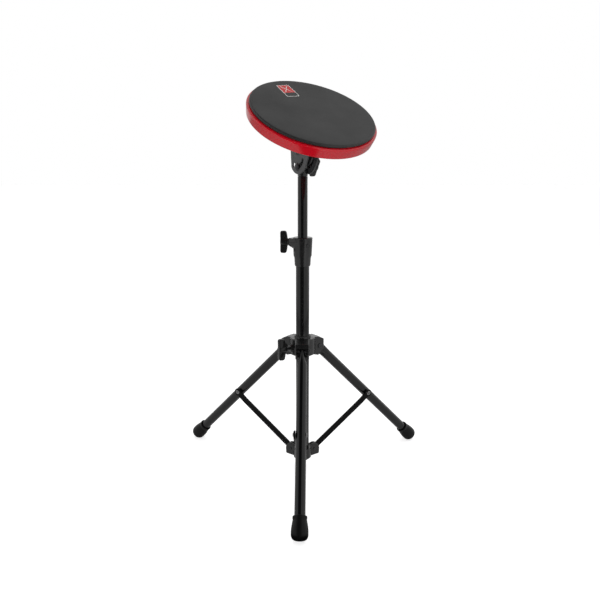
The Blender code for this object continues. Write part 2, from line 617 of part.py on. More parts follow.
# ---------------------------------------------------------------- sliding hub
def build_hub(hub, mats):
    """Hub in the frame of its leg pivots: z = 0 is the height of the three pivots."""
    top, low = 0.0165, -0.0130
    p = HUB_PIVOT_RADIUS
    body = lathe("leg_hub", [(0, low), (HUB_RADIUS - 0.0040, low), (HUB_RADIUS - 0.0010, low + 0.0016),
                             (HUB_RADIUS, low + 0.0045), (HUB_RADIUS, top - 0.0014), (HUB_RADIUS - 0.0014, top),
                             (MAIN_R + 0.0030, top), (MAIN_R + 0.0026, top + 0.0022), (0, top + 0.0022)], 30)
    arms, cutters = [], []
    for turn in ARMS.values():
        outline = [(0.0080, low + 0.0010), (p - 0.0090, low - 0.0010), (p - 0.0035, low - 0.0025),
                   (p - 0.0010, low - 0.0022), (p + 0.0075, -0.0062), (p + 0.0082, -0.0040),
                   (p + 0.0082, 0.0110), (p + 0.0074, 0.0122), (p - 0.0030, top + 0.0001), (0.0080, top + 0.0001)]
        arm = plate("arm", outline, -ARM_WIDTH / 2, ARM_WIDTH / 2)
        bevel(arm, 0.0009, 1, 50)
        arms.append(turned(arm, Matrix.Rotation(turn, 4, "Z")))
        inner = p - LEG_R - 0.0011
        roof = top - 0.0035
        nose = 1.4 * LEG_R - 0.0076
        pocket = plate("pocket", [(inner, -0.04), (inner, roof), (p - 0.0030, roof), (p + nose, roof - 0.0028),
                                  (p + nose + 0.0004, 0.0091), (p + 0.0088, nose + 0.0012),
                                  (p + 0.02, nose + 0.0012), (p + 0.02, -0.04)],
                       -FORK_INNER, FORK_INNER)
        cutters.append(turned(pocket, Matrix.Rotation(turn, 4, "Z")))
        pin = cylinder("hole", PIN_HOLE / 2, -0.02, 0.02, 12, "Y", at=(p, 0, 0))
        cutters.append(turned(pin, Matrix.Rotation(turn, 4, "Z")))
    boss = lathe("boss", [(0, 0), (0.0085, 0), (0.0072, HUB_RADIUS), (0.0060, HUB_RADIUS + 0.0035),
                          (0, HUB_RADIUS + 0.0035)], 20)
    turned(boss, Matrix.Rotation(math.pi / 2, 4, "Y"))
    turned(boss, Matrix.Rotation(HUB_SCREW_TURN, 4, "Z"))
    join(body, *arms, boss)
    bore = MAIN_R + 0.0018
    cutters.append(cylinder("bore", bore, -0.04, 0.04, SIDES))
    cutters.append(stepped_hole(MAIN_R + 0.0047, HUB_SCREW_TURN))
    cut(body, *cutters)
    place(body, hub, mats["plastic"])

    b0, b1 = low - 0.0006, top + 0.0034
    bush = lathe("hub_bush", [(MAIN_R + GAP, b0), (bore - GAP, b0), (bore - GAP, top + 0.0022 + GAP),
                              (bore + 0.0006, top + 0.0022 + GAP), (bore + 0.0004, b1), (MAIN_R + GAP, b1)],
                 SIDES, ring=True)
    window = cylinder("hole", SHOE_HOLE_R, 0.0, 0.03, 16, "X")
    cut(bush, turned(window, Matrix.Rotation(HUB_SCREW_TURN, 4, "Z")))
    place(bush, hub, mats["nylon"])

    first = None
    e = ARM_WIDTH / 2 + GAP
    for key, turn in ARMS.items():
        frame = empty("leg_axis_" + key, hub, (p * math.cos(turn), p * math.sin(turn), 0), (0, 0, turn))
        name = "leg_pin_" + key
        if first is None:
            first = lathe(name, [(0, -e - 0.0006), (0.0022, -e - 0.0016), (0.0034, -e - 0.0014), (0.0042, -e),
                                 (PIN / 2, -e), (PIN / 2, e), (0.0042, e), (0.0034, e + 0.0014),
                                 (0.0022, e + 0.0016), (0, e + 0.0006)], 12)
            turned(first, Matrix.Rotation(-math.pi / 2, 4, "X"))
            obj = first
        else:
            obj = twin(first, name)
        place(obj, frame, mats["steel"])


# ---------------------------------------------------------------- legs, feet and braces
def leg_ring(s, half_x, half_y, power, count):
    pts = []
    for k in range(count):
        a = math.tau * k / count
        c, n = math.cos(a), math.sin(a)
        pts.append((half_x * math.copysign(abs(c) ** power, c), half_y * math.copysign(abs(n) ** power, n), -s))
    return pts


def leg_mesh(name):
    """Round tube hanging along -Z from its pivot, with its top end pressed flat."""
    n = SIDES
    flat = 0.0042
    wide = LEG_R + 0.0006
    bottom = LEG_LENGTH - 0.0033
    rings = [leg_ring(-wide, 0.0030, flat - 0.0010, 1.0, n), leg_ring(-wide * 0.86, wide * 0.55, flat, 1.0, n),
             leg_ring(-wide * 0.5, wide * 0.88, flat, 0.9, n), leg_ring(0.0, wide, flat, 0.85, n),
             leg_ring(0.0090, wide, flat + 0.0002, 0.9, n), leg_ring(0.0280, LEG_R, LEG_R, 1.0, n),
             leg_ring(bottom, LEG_R, LEG_R, 1.0, n)]
    inner = LEG_R - TUBE_WALL
    rings += [leg_ring(bottom, inner, inner, 1.0, n), leg_ring(0.0300, inner, inner, 1.0, n)]
    leg = skin(name, rings)
    return cut(leg, cylinder("hole", PIN_HOLE / 2, -0.02, 0.02, 12, "Y"),
               cylinder("hole", 0.0026, -0.02, 0.02, 12, "Y", at=(0, 0, -BRACE_JOINT)))


def foot_mesh(name):
    outer = foot_profile()
    top = outer[0][0]
    bore = LEG_R + GAP
    depth = LEG_LENGTH - 0.0030
    profile = [(r, -s) for s, r in outer]
    profile = [(bore, -top)] + profile + [(0, -outer[-1][0])]
    profile = [(0, -depth), (bore, -depth)] + profile
    foot = lathe(name, profile, 20)
    up = Vector((math.sin(LEG_ANGLE), 0, math.cos(LEG_ANGLE)))
    floor = prism("floor", [(-0.06, -0.06), (0.06, -0.06), (0.06, 0.06), (-0.06, 0.06)], -0.06, 0.0)
    reach = LEG_LENGTH * math.sin(LEG_ANGLE)
    turned(floor, Matrix.Translation((reach, 0, 0)))
    turned(floor, Matrix.Rotation(LEG_ANGLE, 4, "Y"))
    turned(floor, Matrix.Translation(-up * HUB_PIVOT_Z))
    return cut(foot, floor)


def brace_mesh(name, side):
    """Flat bar along +Z from the lower pin. It leaves the fork in its middle and ends beside the leg."""
    w = BRACE_WIDTH / 2
    end = w + 0.0016
    t = BRACE_THICKNESS / 2
    n = 8
    outline = arc(0, 0, w, -math.pi, 0.0, n)
    neck = BRACE_LENGTH - end - 0.0045
    outline += [(w, neck)] + arc(0, BRACE_LENGTH, end, math.radians(-35), math.radians(215), 12) + [(-w, neck)]
    bar = plate(name, outline, -t, t)
    cut(bar, cylinder("hole", 0.0021, -0.02, 0.02, 10, "Y"),
        cylinder("hole", 0.0026, -0.02, 0.02, 12, "Y", at=(0, 0, BRACE_LENGTH)))
    z0, z1 = 0.0125, BRACE_LENGTH - BRACE_STRAIGHT
    far = LEG_R + 0.0005 + t
    bm = bmesh.new()
    bm.from_mesh(bar.data)
    for z in (z0, z1):
        geom = list(bm.verts) + list(bm.edges) + list(bm.faces)
        bmesh.ops.bisect_plane(bm, geom=geom, plane_co=(0, 0, z), plane_no=(0, 0, 1), dist=1e-6)
    for v in bm.verts:
        share = min(1.0, max(0.0, (v.co.z - z0) / (z1 - z0)))
        v.co.y += side * far * share
    bm.to_mesh(bar.data)
    bm.free()
    return bar


def build_leg(key, hub, stand, mats, shared):
    turn = ARMS[key]
    side = BRACE_SIDE[key]
    p = HUB_PIVOT_RADIUS
    hinge = empty("leg_hinge_" + key, hub, (p * math.cos(turn), p * math.sin(turn), 0), (0, 0, turn))
    axis = empty("leg_line_" + key, hinge, rotation=(0, -LEG_ANGLE, 0))
    if "leg" not in shared:
        shared["leg"] = leg_mesh("leg_" + key)
        shared["foot"] = foot_mesh("foot_" + key)
        leg, foot = shared["leg"], shared["foot"]
    else:
        leg, foot = twin(shared["leg"], "leg_" + key), twin(shared["foot"], "foot_" + key)
    place(leg, axis, mats["tube"])
    place(foot, axis, mats["foot"])

    # The rivet stays with the leg and its eyelet with the strap, so that the fold is open at this pivot.
    near = LEG_R + 0.0001
    far = -LEG_R - GAP
    rivet = lathe("brace_rivet_" + key, [
        (0.0012, far - 0.0011), (0.0030, far - 0.0011), (0.0038, far), (0.0023, far),
        (0.0023, near), (0.0012, near)], 12, ring=True)
    turned(rivet, Matrix.Rotation(-side * math.pi / 2, 4, "X"))
    place(rivet, axis, mats["steel"], location=(0, 0, -BRACE_JOINT))

    q = SPIDER_PIVOT_RADIUS
    low = empty("brace_hinge_" + key, stand, (q * math.cos(turn), q * math.sin(turn), SPIDER_PIVOT_Z), (0, 0, turn))
    slot = "brace%+d" % side
    if slot not in shared:
        shared[slot] = brace_mesh("brace_" + key, side)
        brace = shared[slot]
    else:
        brace = twin(shared[slot], "brace_" + key)
    line = empty("brace_line_" + key, low, rotation=(0, BRACE_ANGLE, 0))
    place(brace, line, mats["strap"])
    base = LEG_R + 0.0006
    head = LEG_R + 0.0005 + BRACE_THICKNESS + GAP
    eyelet = lathe("brace_eyelet_" + key, [
        (0.0012, base), (0.0023, base), (0.0023, head), (0.0038, head), (0.0030, head + 0.0011),
        (0.0012, head + 0.0011)], 12, ring=True)
    turned(eyelet, Matrix.Rotation(-side * math.pi / 2, 4, "X"))
    place(eyelet, line, mats["steel"], location=(0, 0, BRACE_LENGTH))


def main():
    clear_scene()
    mats = {
        "tube": material("black enamelled tube", (0.012, 0.012, 0.013), 0.30, 0.0),
        "strap": material("black enamelled strap", (0.012, 0.012, 0.013), 0.38, 0.0),
        "plastic": material("black moulded plastic", (0.022, 0.022, 0.023), 0.48),
        "foot": material("black rubber foot", (0.018, 0.018, 0.018), 0.65),
        "nylon": material("dark nylon", (0.03, 0.03, 0.03), 0.5),
        "steel": material("black zinc steel", (0.05, 0.05, 0.05), 0.4, 0.8),
        "bracket": material("grey enamelled sheet", (0.075, 0.077, 0.080), 0.42, 0.2),
        "red": material("red lacquer", (0.45, 0.012, 0.022), 0.28),
        "rubber": material("black playing rubber", (0.030, 0.032, 0.033), 0.75),
        "foam": material("dark foam", (0.02, 0.02, 0.02), 0.95),
    }
    stand = empty("stand")
    build_column(stand, mats)
    build_collar(stand, mats)
    build_spider(stand, mats)

    hub = empty("hub_slide", stand, (0, 0, HUB_PIVOT_Z))
    build_hub(hub, mats)
    shared = {}
    for key in ARMS:
        build_leg(key, hub, stand, mats, shared)
    build_wing_screw("hub", hub, HUB_SCREW_TURN, 0.0, HUB_RADIUS + 0.0100, MAIN_R + GAP, mats, mats["plastic"])
    build_wing_screw("collar", stand, COLLAR_SCREW_TURN, COLLAR_SCREW_Z, COLLAR_TOP_RADIUS + 0.0062 + GAP,
                     MAST_R + GAP, mats, mats["plastic"])

    slide = empty("mast_slide", stand)
    build_guide(slide, mats)
    mast = empty("mast_turn", slide, rotation=(0, 0, PAD_TURN))
    tilt_axis = empty("tilt_axis", mast, (0, 0, PIVOT_Z))
    build_mast(mast, tilt_axis, mats)
    build_tilt_screw(tilt_axis, mats)
    pad = empty("pad_tilt", tilt_axis, rotation=(0, PAD_TILT, 0))
    build_bracket(pad, mats)
    build_pad(pad, mats)

    # The three feet set the bounding box seen from above: its middle goes to the world origin.
    bpy.context.view_layer.update()
    corners = [obj.matrix_world @ v.co for obj in bpy.data.objects if obj.type == "MESH" for v in obj.data.vertices]
    mid_x = (min(c.x for c in corners) + max(c.x for c in corners)) / 2
    mid_y = (min(c.y for c in corners) + max(c.y for c in corners)) / 2
    stand.location = (-mid_x, -mid_y, -min(c.z for c in corners))
    bpy.context.view_layer.update()


main()
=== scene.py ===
import json
import math

import bmesh
import bpy
from bpy.props import FloatProperty, FloatVectorProperty, IntProperty, PointerProperty
from mathutils import Matrix, Vector


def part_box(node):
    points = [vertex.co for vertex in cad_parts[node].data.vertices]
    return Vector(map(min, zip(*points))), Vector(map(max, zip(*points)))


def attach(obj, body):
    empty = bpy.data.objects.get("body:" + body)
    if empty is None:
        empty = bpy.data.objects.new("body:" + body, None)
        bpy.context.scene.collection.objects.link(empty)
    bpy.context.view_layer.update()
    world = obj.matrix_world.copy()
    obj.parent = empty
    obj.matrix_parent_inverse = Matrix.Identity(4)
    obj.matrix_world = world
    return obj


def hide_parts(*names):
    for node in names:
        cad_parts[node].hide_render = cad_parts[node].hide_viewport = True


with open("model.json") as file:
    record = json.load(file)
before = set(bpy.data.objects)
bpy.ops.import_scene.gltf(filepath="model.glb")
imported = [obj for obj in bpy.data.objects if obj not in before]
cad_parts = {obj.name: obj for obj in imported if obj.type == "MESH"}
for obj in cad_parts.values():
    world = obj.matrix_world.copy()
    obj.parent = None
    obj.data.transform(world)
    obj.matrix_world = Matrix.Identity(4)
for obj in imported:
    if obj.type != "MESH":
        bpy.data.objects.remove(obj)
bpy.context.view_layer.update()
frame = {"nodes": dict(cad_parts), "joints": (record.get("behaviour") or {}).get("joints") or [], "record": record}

bl_info = {
    "name": "Practice pad on a folding stand",
    "version": (1, 0, 0),
    "blender": (4, 5, 0),
    "location": "3D View > Sidebar > Practice pad",
    "description": "Builds a drum practice pad and its tripod stand round the loaded frame",
    "category": "Object",
}

JOINT = {j["name"]: j for j in frame["joints"]}
FACE = {m["name"]: m for m in frame["record"]["mounts"]}["playing_face"]
LEGS = ("front", "right", "left")
UP = Vector((0, 0, 1))

# sizes that several pieces share, in metres
PLAY = 0.0003        # gap between a detailed piece and what it sits in
TUBE_WALL = 0.0012
ROD = 0.0025         # radius of every wing screw's thread
HOLLOW = 0.0012      # bore of the rolled rivets and eyelets
WING = (0.0362, 0.0086)         # span and thickness of the clamps' wings
TILT_WING = (0.0325, 0.0098)    # the same for the wing nut on the bracket
TILT_WING_LEAN = math.radians(38.0)

# printed patch on the playing face
PATCH_PLACE = (-0.0616, -0.0188)
PATCH_TURN = math.radians(10.0)
PATCH_EDGE = 0.0022     # white edge on both sides together
PATCH_CORNER = 0.0014
PRINT_HEIGHTS = (0.00004, 0.00008, 0.00011)     # edge, panel, sticks and dark end

# stage: name, place, aim, width, height and power of each light
LIGHTS = (("overhead softbox", (0.0, 0.2, 2.4), (0, 0, 0), 2.2, 2.2, 14.0),
          ("front fill", (-0.1, -2.0, 0.35), (0, 0, 0.5), 2.0, 0.9, 36.0))
CAMERA_PLACE = (0.0172, -0.9845, 0.5197)
CAMERA_LOOK = (-0.0201, 0.9774, -0.2105)
CAMERA_LENS, CAMERA_SENSOR = 38.72, 36.0
GAP_MIDDLE, GAP_EDGES = -0.13, (0.42, 0.56)     # dark gap between the white screens; the floor's colour is painted dark in the same gap
FLOOR_GLOW = 0.66       # evens out the lights' soft shadows on the floor


# ---------------------------------------------------------------- where the pieces go
def joint_point(name):
    return Vector(JOINT[name]["pos_m"])


def joint_axis(name):
    return Vector(JOINT[name]["axis"]).normalized()


def axes(origin, x, y, z):
    """Matrix of a local frame from its origin and its three directions."""
    m = Matrix((x, y, z)).transposed().to_4x4()
    m.translation = origin
    return m


def along(origin, direction, beside=UP):
    """Local frame whose +Z is the direction and whose +X leans towards beside."""
    z = Vector(direction).normalized()
    x = (beside - z * beside.dot(z))
    x = x.normalized() if x.length > 1e-4 else z.orthogonal().normalized()
    return axes(origin, x, z.cross(x), z)


def span(node, origin, direction):
    """Nearest and furthest reach of a frame node along a direction."""
    d = [(v.co - origin).dot(direction) for v in frame["nodes"][node].data.vertices]
    return min(d), max(d)


def tube_frame():
    p = joint_point("mast_turn")
    return Matrix.Translation((p.x, p.y, 0))


def pad_frame():
    n, y = Vector(FACE["axis"]).normalized(), joint_axis("pad_tilt")
    return axes(joint_point("pad_tilt"), y.cross(n), y, n)


def tilt_frame():
    y = joint_axis("pad_tilt")
    return axes(joint_point("pad_tilt"), y.cross(UP), y, UP)


def leg_frame(key):
    """Origin at the leg's pivot, +Z down the leg, +Y along its pin."""
    y = joint_axis("leg_fold_" + key)
    outward = y.cross(UP)
    down = (outward - UP).normalized()
    return axes(joint_point("leg_fold_" + key), y.cross(down), y, down)


def strap_frame(key):
    """Origin at the strap's lower pin, +Z up the strap."""
    y = joint_axis("strap_fold_" + key)
    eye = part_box("brace_eyelet_" + key)
    d = (eye[0] + eye[1]) / 2 - joint_point("strap_fold_" + key)
    d = (d - y * d.dot(y)).normalized()
    return axes(joint_point("strap_fold_" + key), y.cross(d), y, d)


# ---------------------------------------------------------------- shader groups
def link(tree, a, b):
    tree.links.new(a, b)


def new_group(name, inputs, outputs):
    group = bpy.data.node_groups.new(name, "ShaderNodeTree")
    for label, kind, default in inputs:
        s = group.interface.new_socket(name=label, in_out="INPUT", socket_type=kind)
        if default is not None:
            s.default_value = default
    for label, kind in outputs:
        group.interface.new_socket(name=label, in_out="OUTPUT", socket_type=kind)
    return group, group.nodes.new("NodeGroupInput"), group.nodes.new("NodeGroupOutput")


def grain_group():
    """Fine grain: a height, and a roughness that drifts over handled and clean places."""
    if "surface grain" in bpy.data.node_groups:
        return bpy.data.node_groups["surface grain"]
    g, i, o = new_group("surface grain", [
        ("Vector", "NodeSocketVector", None), ("Scale", "NodeSocketFloat", 1500.0),
        ("Smooth", "NodeSocketFloat", 0.3), ("Rough", "NodeSocketFloat", 0.5),
        ("Patch", "NodeSocketFloat", 25.0)],
        [("Height", "NodeSocketFloat"), ("Roughness", "NodeSocketFloat"),
         ("Drift", "NodeSocketFloat")])
    fine, broad = g.nodes.new("ShaderNodeTexNoise"), g.nodes.new("ShaderNodeTexNoise")
    fine.inputs["Detail"].default_value = 3.0
    broad.inputs["Detail"].default_value = 4.0
    broad.inputs["Roughness"].default_value = 0.6
    span_r = g.nodes.new("ShaderNodeMapRange")
    span_r.inputs["From Min"].default_value = 0.32
    span_r.inputs["From Max"].default_value = 0.68
    for tex, scale in ((fine, "Scale"), (broad, "Patch")):
        link(g, i.outputs["Vector"], tex.inputs["Vector"])
        link(g, i.outputs[scale], tex.inputs["Scale"])
    link(g, broad.outputs["Fac"], span_r.inputs["Value"])
    link(g, i.outputs["Smooth"], span_r.inputs["To Min"])
    link(g, i.outputs["Rough"], span_r.inputs["To Max"])
    link(g, fine.outputs["Fac"], o.inputs["Height"])
    link(g, span_r.outputs["Result"], o.inputs["Roughness"])
    link(g, broad.outputs["Fac"], o.inputs["Drift"])
    return g


def wear_group():
    """Rubbed edges: a mask that is white on sharp outer corners, broken up by a fine pattern."""
    if "rubbed edges" in bpy.data.node_groups:
        return bpy.data.node_groups["rubbed edges"]
    g, i, o = new_group("rubbed edges", [
        ("Pointiness", "NodeSocketFloat", 0.5), ("Vector", "NodeSocketVector", None),
        ("Amount", "NodeSocketFloat", 0.4)], [("Mask", "NodeSocketFloat")])
    noise = g.nodes.new("ShaderNodeTexNoise")
    noise.inputs["Scale"].default_value = 700.0
    noise.inputs["Detail"].default_value = 3.0
    sharp = g.nodes.new("ShaderNodeMapRange")
    sharp.inputs["From Min"].default_value = 0.515
    sharp.inputs["From Max"].default_value = 0.60
    broken = g.nodes.new("ShaderNodeMapRange")
    broken.inputs["From Min"].default_value = 0.45
    broken.inputs["From Max"].default_value = 0.60
    both, scaled = g.nodes.new("ShaderNodeMath"), g.nodes.new("ShaderNodeMath")
    both.operation = scaled.operation = "MULTIPLY"
    link(g, i.outputs["Pointiness"], sharp.inputs["Value"])
    link(g, i.outputs["Vector"], noise.inputs["Vector"])
    link(g, noise.outputs["Fac"], broken.inputs["Value"])
    link(g, sharp.outputs["Result"], both.inputs[0])
    link(g, broken.outputs["Result"], both.inputs[1])
    link(g, both.outputs[0], scaled.inputs[0])
    link(g, i.outputs["Amount"], scaled.inputs[1])
    link(g, scaled.outputs[0], o.inputs["Mask"])
    return g


# ---------------------------------------------------------------- finishes
def finish_of(name, colour, smooth, rough, grain=1500.0, depth=0.10, patch=25.0, worn=None,
              wear=0.0, metallic=0.0, specular=0.5, tone=0.12):
    """Procedural finish: drifting colour and roughness, a fine grain, and worn edges if asked."""
    if name in bpy.data.materials:
        return bpy.data.materials[name]
    mat = bpy.data.materials.new(name)
    mat.use_nodes = True
    t = mat.node_tree
    b = t.nodes["Principled BSDF"]
    b.inputs["Metallic"].default_value = metallic
    b.inputs["Specular IOR Level"].default_value = specular
    b.inputs["IOR"].default_value = 1.5
    coords = t.nodes.new("ShaderNodeTexCoord")
    place = t.nodes.new("ShaderNodeMapping")
    link(t, coords.outputs["Object"], place.inputs["Vector"])
    g = t.nodes.new("ShaderNodeGroup")
    g.node_tree = grain_group()
    g.inputs["Scale"].default_value = grain
    g.inputs["Smooth"].default_value = smooth
    g.inputs["Rough"].default_value = rough
    g.inputs["Patch"].default_value = patch
    link(t, place.outputs["Vector"], g.inputs["Vector"])
    link(t, g.outputs["Roughness"], b.inputs["Roughness"])
    bump = t.nodes.new("ShaderNodeBump")
    bump.inputs["Strength"].default_value = depth
    bump.inputs["Distance"].default_value = 0.0003
    link(t, g.outputs["Height"], bump.inputs["Height"])
    link(t, bump.outputs["Normal"], b.inputs["Normal"])
    shade = t.nodes.new("ShaderNodeMix")
    shade.data_type = "RGBA"
    shade.inputs["A"].default_value = (*[c * (1 - tone) for c in colour], 1)
    shade.inputs["B"].default_value = (*[min(1.0, c * (1 + tone)) for c in colour], 1)
    link(t, g.outputs["Drift"], shade.inputs["Factor"])
    result = shade.outputs["Result"]
    if wear > 0:
        geo = t.nodes.new("ShaderNodeNewGeometry")
        w = t.nodes.new("ShaderNodeGroup")
        w.node_tree = wear_group()
        w.inputs["Amount"].default_value = wear
        link(t, geo.outputs["Pointiness"], w.inputs["Pointiness"])
        link(t, place.outputs["Vector"], w.inputs["Vector"])
        rub = t.nodes.new("ShaderNodeMix")
        rub.data_type = "RGBA"
        rub.inputs["B"].default_value = (*worn, 1)
        link(t, w.outputs["Mask"], rub.inputs["Factor"])
        link(t, result, rub.inputs["A"])
        result = rub.outputs["Result"]
    link(t, result, b.inputs["Base Color"])
    return mat


def finishes():
    """Every finish of the object, from the colours in the panel."""
    c = bpy.context.scene.pad_finish
    return {
        "tube": finish_of("black enamel", c.enamel, 0.08, 0.12, 900.0, 0.008, 22.0,
                          (0.05, 0.05, 0.05), 0.15),
        "strap": finish_of("black enamel on strap", c.enamel, 0.34, 0.46, 1100.0, 0.05, 30.0,
                           (0.03, 0.03, 0.03), 0.25, specular=0.10),
        "moulded": finish_of("moulded plastic", c.moulded, 0.18, 0.27, 2600.0, 0.03, 30.0,
                             (0.03, 0.03, 0.03), 0.2, specular=0.70),
        "wing": finish_of("glossy moulded plastic", c.moulded, 0.15, 0.24, 1800.0, 0.04, 35.0,
                          (0.03, 0.03, 0.03), 0.2, specular=0.40),
        "foot": finish_of("foot rubber", c.rubber, 0.30, 0.42, 2200.0, 0.08, 40.0,
                          (0.02, 0.02, 0.02), 0.2, specular=0.22),
        "nylon": finish_of("nylon", (0.02, 0.02, 0.02), 0.30, 0.45, 2000.0, 0.08),
        "steel": finish_of("black zinc steel", (0.06, 0.06, 0.063), 0.26, 0.42, 1500.0, 0.08, 60.0,
                           (0.22, 0.22, 0.22), 0.4, metallic=0.85),
        "rivet": finish_of("rolled rivet steel", (0.30, 0.30, 0.30), 0.24, 0.36, 1500.0, 0.06, 60.0,
                           metallic=0.9),
        "bracket": finish_of("grey enamel on sheet", c.bracket, 0.36, 0.48, 1300.0, 0.10, 30.0,
                             (0.12, 0.12, 0.12), 0.3),
        "shell": finish_of("red gloss shell", c.shell, 0.13, 0.20, 700.0, 0.015, 18.0,
                           tone=0.06, specular=0.75),
        "face": finish_of("playing rubber", c.face, 0.50, 0.60, 1700.0, 0.18, 12.0,
                          tone=0.06, specular=0.80),
        "foam": finish_of("foam", (0.02, 0.02, 0.02), 0.9, 0.98, 900.0, 0.5),
        "print white": finish_of("white print", (0.72, 0.72, 0.70), 0.45, 0.6, 1700.0, 0.15,
                                 tone=0.03),
        "print red": finish_of("red print", (0.55, 0.03, 0.03), 0.45, 0.6, 1700.0, 0.15,
                               tone=0.05),
    }


# ---------------------------------------------------------------- making shapes
def spun(bm, profile, steps, ring=False):
    """Turns a profile of (radius, height) once round +Z. A ring profile closes on itself."""
    vs = [bm.verts.new((r, 0, z)) for r, z in profile]
    es = [bm.edges.new(p) for p in zip(vs, vs[1:])]
    if ring:
        es.append(bm.edges.new((vs[-1], vs[0])))
    bmesh.ops.spin(bm, geom=vs + es, cent=(0, 0, 0), axis=(0, 0, 1), dvec=(0, 0, 0),
                   angle=math.tau, steps=steps, use_merge=True, use_normal_flip=False,
                   use_duplicate=False)
    bmesh.ops.remove_doubles(bm, verts=bm.verts, dist=1e-6)
    bmesh.ops.recalc_face_normals(bm, faces=bm.faces)


def sharp_edges(bm, angle=30.0):
    limit = math.radians(angle)
    return [e for e in bm.edges if len(e.link_faces) == 2 and e.calc_face_angle(0.0) > limit]


def soften(bm, width, segments=2, edges=None):
    """Rounds the given edges, or every sharp one."""
    bmesh.ops.bevel(bm, geom=sharp_edges(bm) if edges is None else edges, offset=width,
                    offset_type="OFFSET", segments=segments, profile=0.5, affect="EDGES",
                    clamp_overlap=True, material=-1)


def raised(bm, outline, height):
    """Draws an outline in XY straight up, open below."""
    face = bm.faces.new([bm.verts.new((x, y, 0)) for x, y in outline])
    out = bmesh.ops.extrude_face_region(bm, geom=[face], use_keep_orig=True)
    bmesh.ops.translate(bm, verts=[g for g in out["geom"] if isinstance(g, bmesh.types.BMVert)],
                        vec=(0, 0, height))


def slab(bm, outline, low, high):
    """Closed plate: an outline in XZ, drawn out along Y."""
    face = bm.faces.new([bm.verts.new((x, low, z)) for x, z in outline])
    out = bmesh.ops.extrude_face_region(bm, geom=[face], use_keep_orig=True)
    bmesh.ops.translate(bm, verts=[g for g in out["geom"] if isinstance(g, bmesh.types.BMVert)],
                        vec=(0, high - low, 0))
    bmesh.ops.recalc_face_normals(bm, faces=bm.faces)


def joined(parts):
    """One mesh from several closed ones."""
    whole = bmesh.new()
    for part in parts:
        mesh = bpy.data.meshes.new("part")
        part.to_mesh(mesh)
        part.free()
        whole.from_mesh(mesh)
        bpy.data.meshes.remove(mesh)
    return whole


def piece(name, bm, place, mat, body, nodes=(), smooth=38.0):
    """Puts a finished shape in its place, on its body, for the frame nodes it stands for."""
    bm.transform(place)
    bmesh.ops.recalc_face_normals(bm, faces=bm.faces)
    mesh = bpy.data.meshes.new(name)
    bm.to_mesh(mesh)
    bm.free()
    mesh.materials.append(mat)
    mesh.shade_smooth()
    mesh.set_sharp_from_angle(angle=math.radians(smooth))
    obj = bpy.data.objects.new(name, mesh)
    bpy.context.scene.collection.objects.link(obj)
    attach(obj, body)
    if nodes:
        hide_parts(*nodes)
    return obj


def refined(name, node, mat, body, width, segments=2, angle=33.0):
    """A frame node's own shape with its flats made whole and its edges rounded."""
    bm = bmesh.new()
    bm.from_mesh(frame["nodes"][node].data)
    bmesh.ops.remove_doubles(bm, verts=bm.verts, dist=2e-6)
    bmesh.ops.dissolve_limit(bm, angle_limit=math.radians(0.5), verts=bm.verts, edges=bm.edges,
                             use_dissolve_boundaries=False, delimit={"NORMAL"})
    obj = piece(name, bm, Matrix(), mat, body, [node], smooth=angle)
    mod = obj.modifiers.new("rounded edges", "BEVEL")
    mod.width = width
    mod.segments = segments
    mod.limit_method = "ANGLE"
    mod.angle_limit = math.radians(angle)
    mod.use_clamp_overlap = True
    mod.miter_outer = "MITER_ARC"
    even = obj.modifiers.new("even shading", "WEIGHTED_NORMAL")
    even.keep_sharp = True
    return obj


def finish_node(node, mat):
    """A hidden frame node keeps its shape and takes a finish."""
    mesh = frame["nodes"][node].data
    mesh.materials.clear()
    mesh.materials.append(mat)


def thread(bm, radius, low, high, pitch, steps=16):
    """Screw thread on a rod: one ridge carried round and up."""
    end, lead, core = radius - pitch * 0.45, radius - pitch * 0.10, radius - pitch * 0.52
    spun(bm, [(0, low), (end, low), (lead, low + pitch * 0.5), (core, low + pitch * 0.7),
              (core, high - pitch * 0.7), (lead, high - pitch * 0.5), (end, high), (0, high)], 24)
    turns = (high - low - pitch) / pitch
    ridge = bmesh.new()
    r0, r1 = radius - pitch * 0.60, radius
    z = low + pitch * 0.5
    vs = [ridge.verts.new(p) for p in ((r0, 0, z - pitch * 0.42), (r1, 0, z - pitch * 0.06),
                                       (r1, 0, z + pitch * 0.06), (r0, 0, z + pitch * 0.42))]
    es = [ridge.edges.new(p) for p in zip(vs, vs[1:] + vs[:1])]
    count = max(2, int(turns * steps))
    bmesh.ops.spin(ridge, geom=vs + es, cent=(0, 0, 0), axis=(0, 0, 1),
                   dvec=(0, 0, pitch / steps), angle=math.tau * count / steps, steps=count,
                   use_merge=False, use_normal_flip=False, use_duplicate=False)
    bmesh.ops.holes_fill(ridge, edges=[e for e in ridge.edges if e.is_boundary], sides=4)
    bmesh.ops.recalc_face_normals(ridge, faces=ridge.faces)
    return joined([bm, ridge])


def rounded_box(width, height, corner, steps=6):
    """Outline of a rectangle with round corners, as points in the plane."""
    pts = []
    for sx, sy, start in ((1, 1, 0), (-1, 1, 90), (-1, -1, 180), (1, -1, 270)):
        for k in range(steps + 1):
            a = math.radians(start + 90 * k / steps)
            pts.append((sx * (width / 2 - corner) + corner * math.cos(a),
                        sy * (height / 2 - corner) + corner * math.sin(a)))
    return pts


def arc(radius, start, end, steps):
    """Points round a part of a circle, from one angle to the other."""
    angles = [start + (end - start) * k / steps for k in range(steps + 1)]
    return [(radius * math.cos(a), radius * math.sin(a)) for a in angles]


def dome(radius, rise, *degrees):
    """Half profile of a low round head, from its rim up."""
    return [(radius * math.cos(a), rise * math.sin(a)) for a in map(math.radians, degrees)]


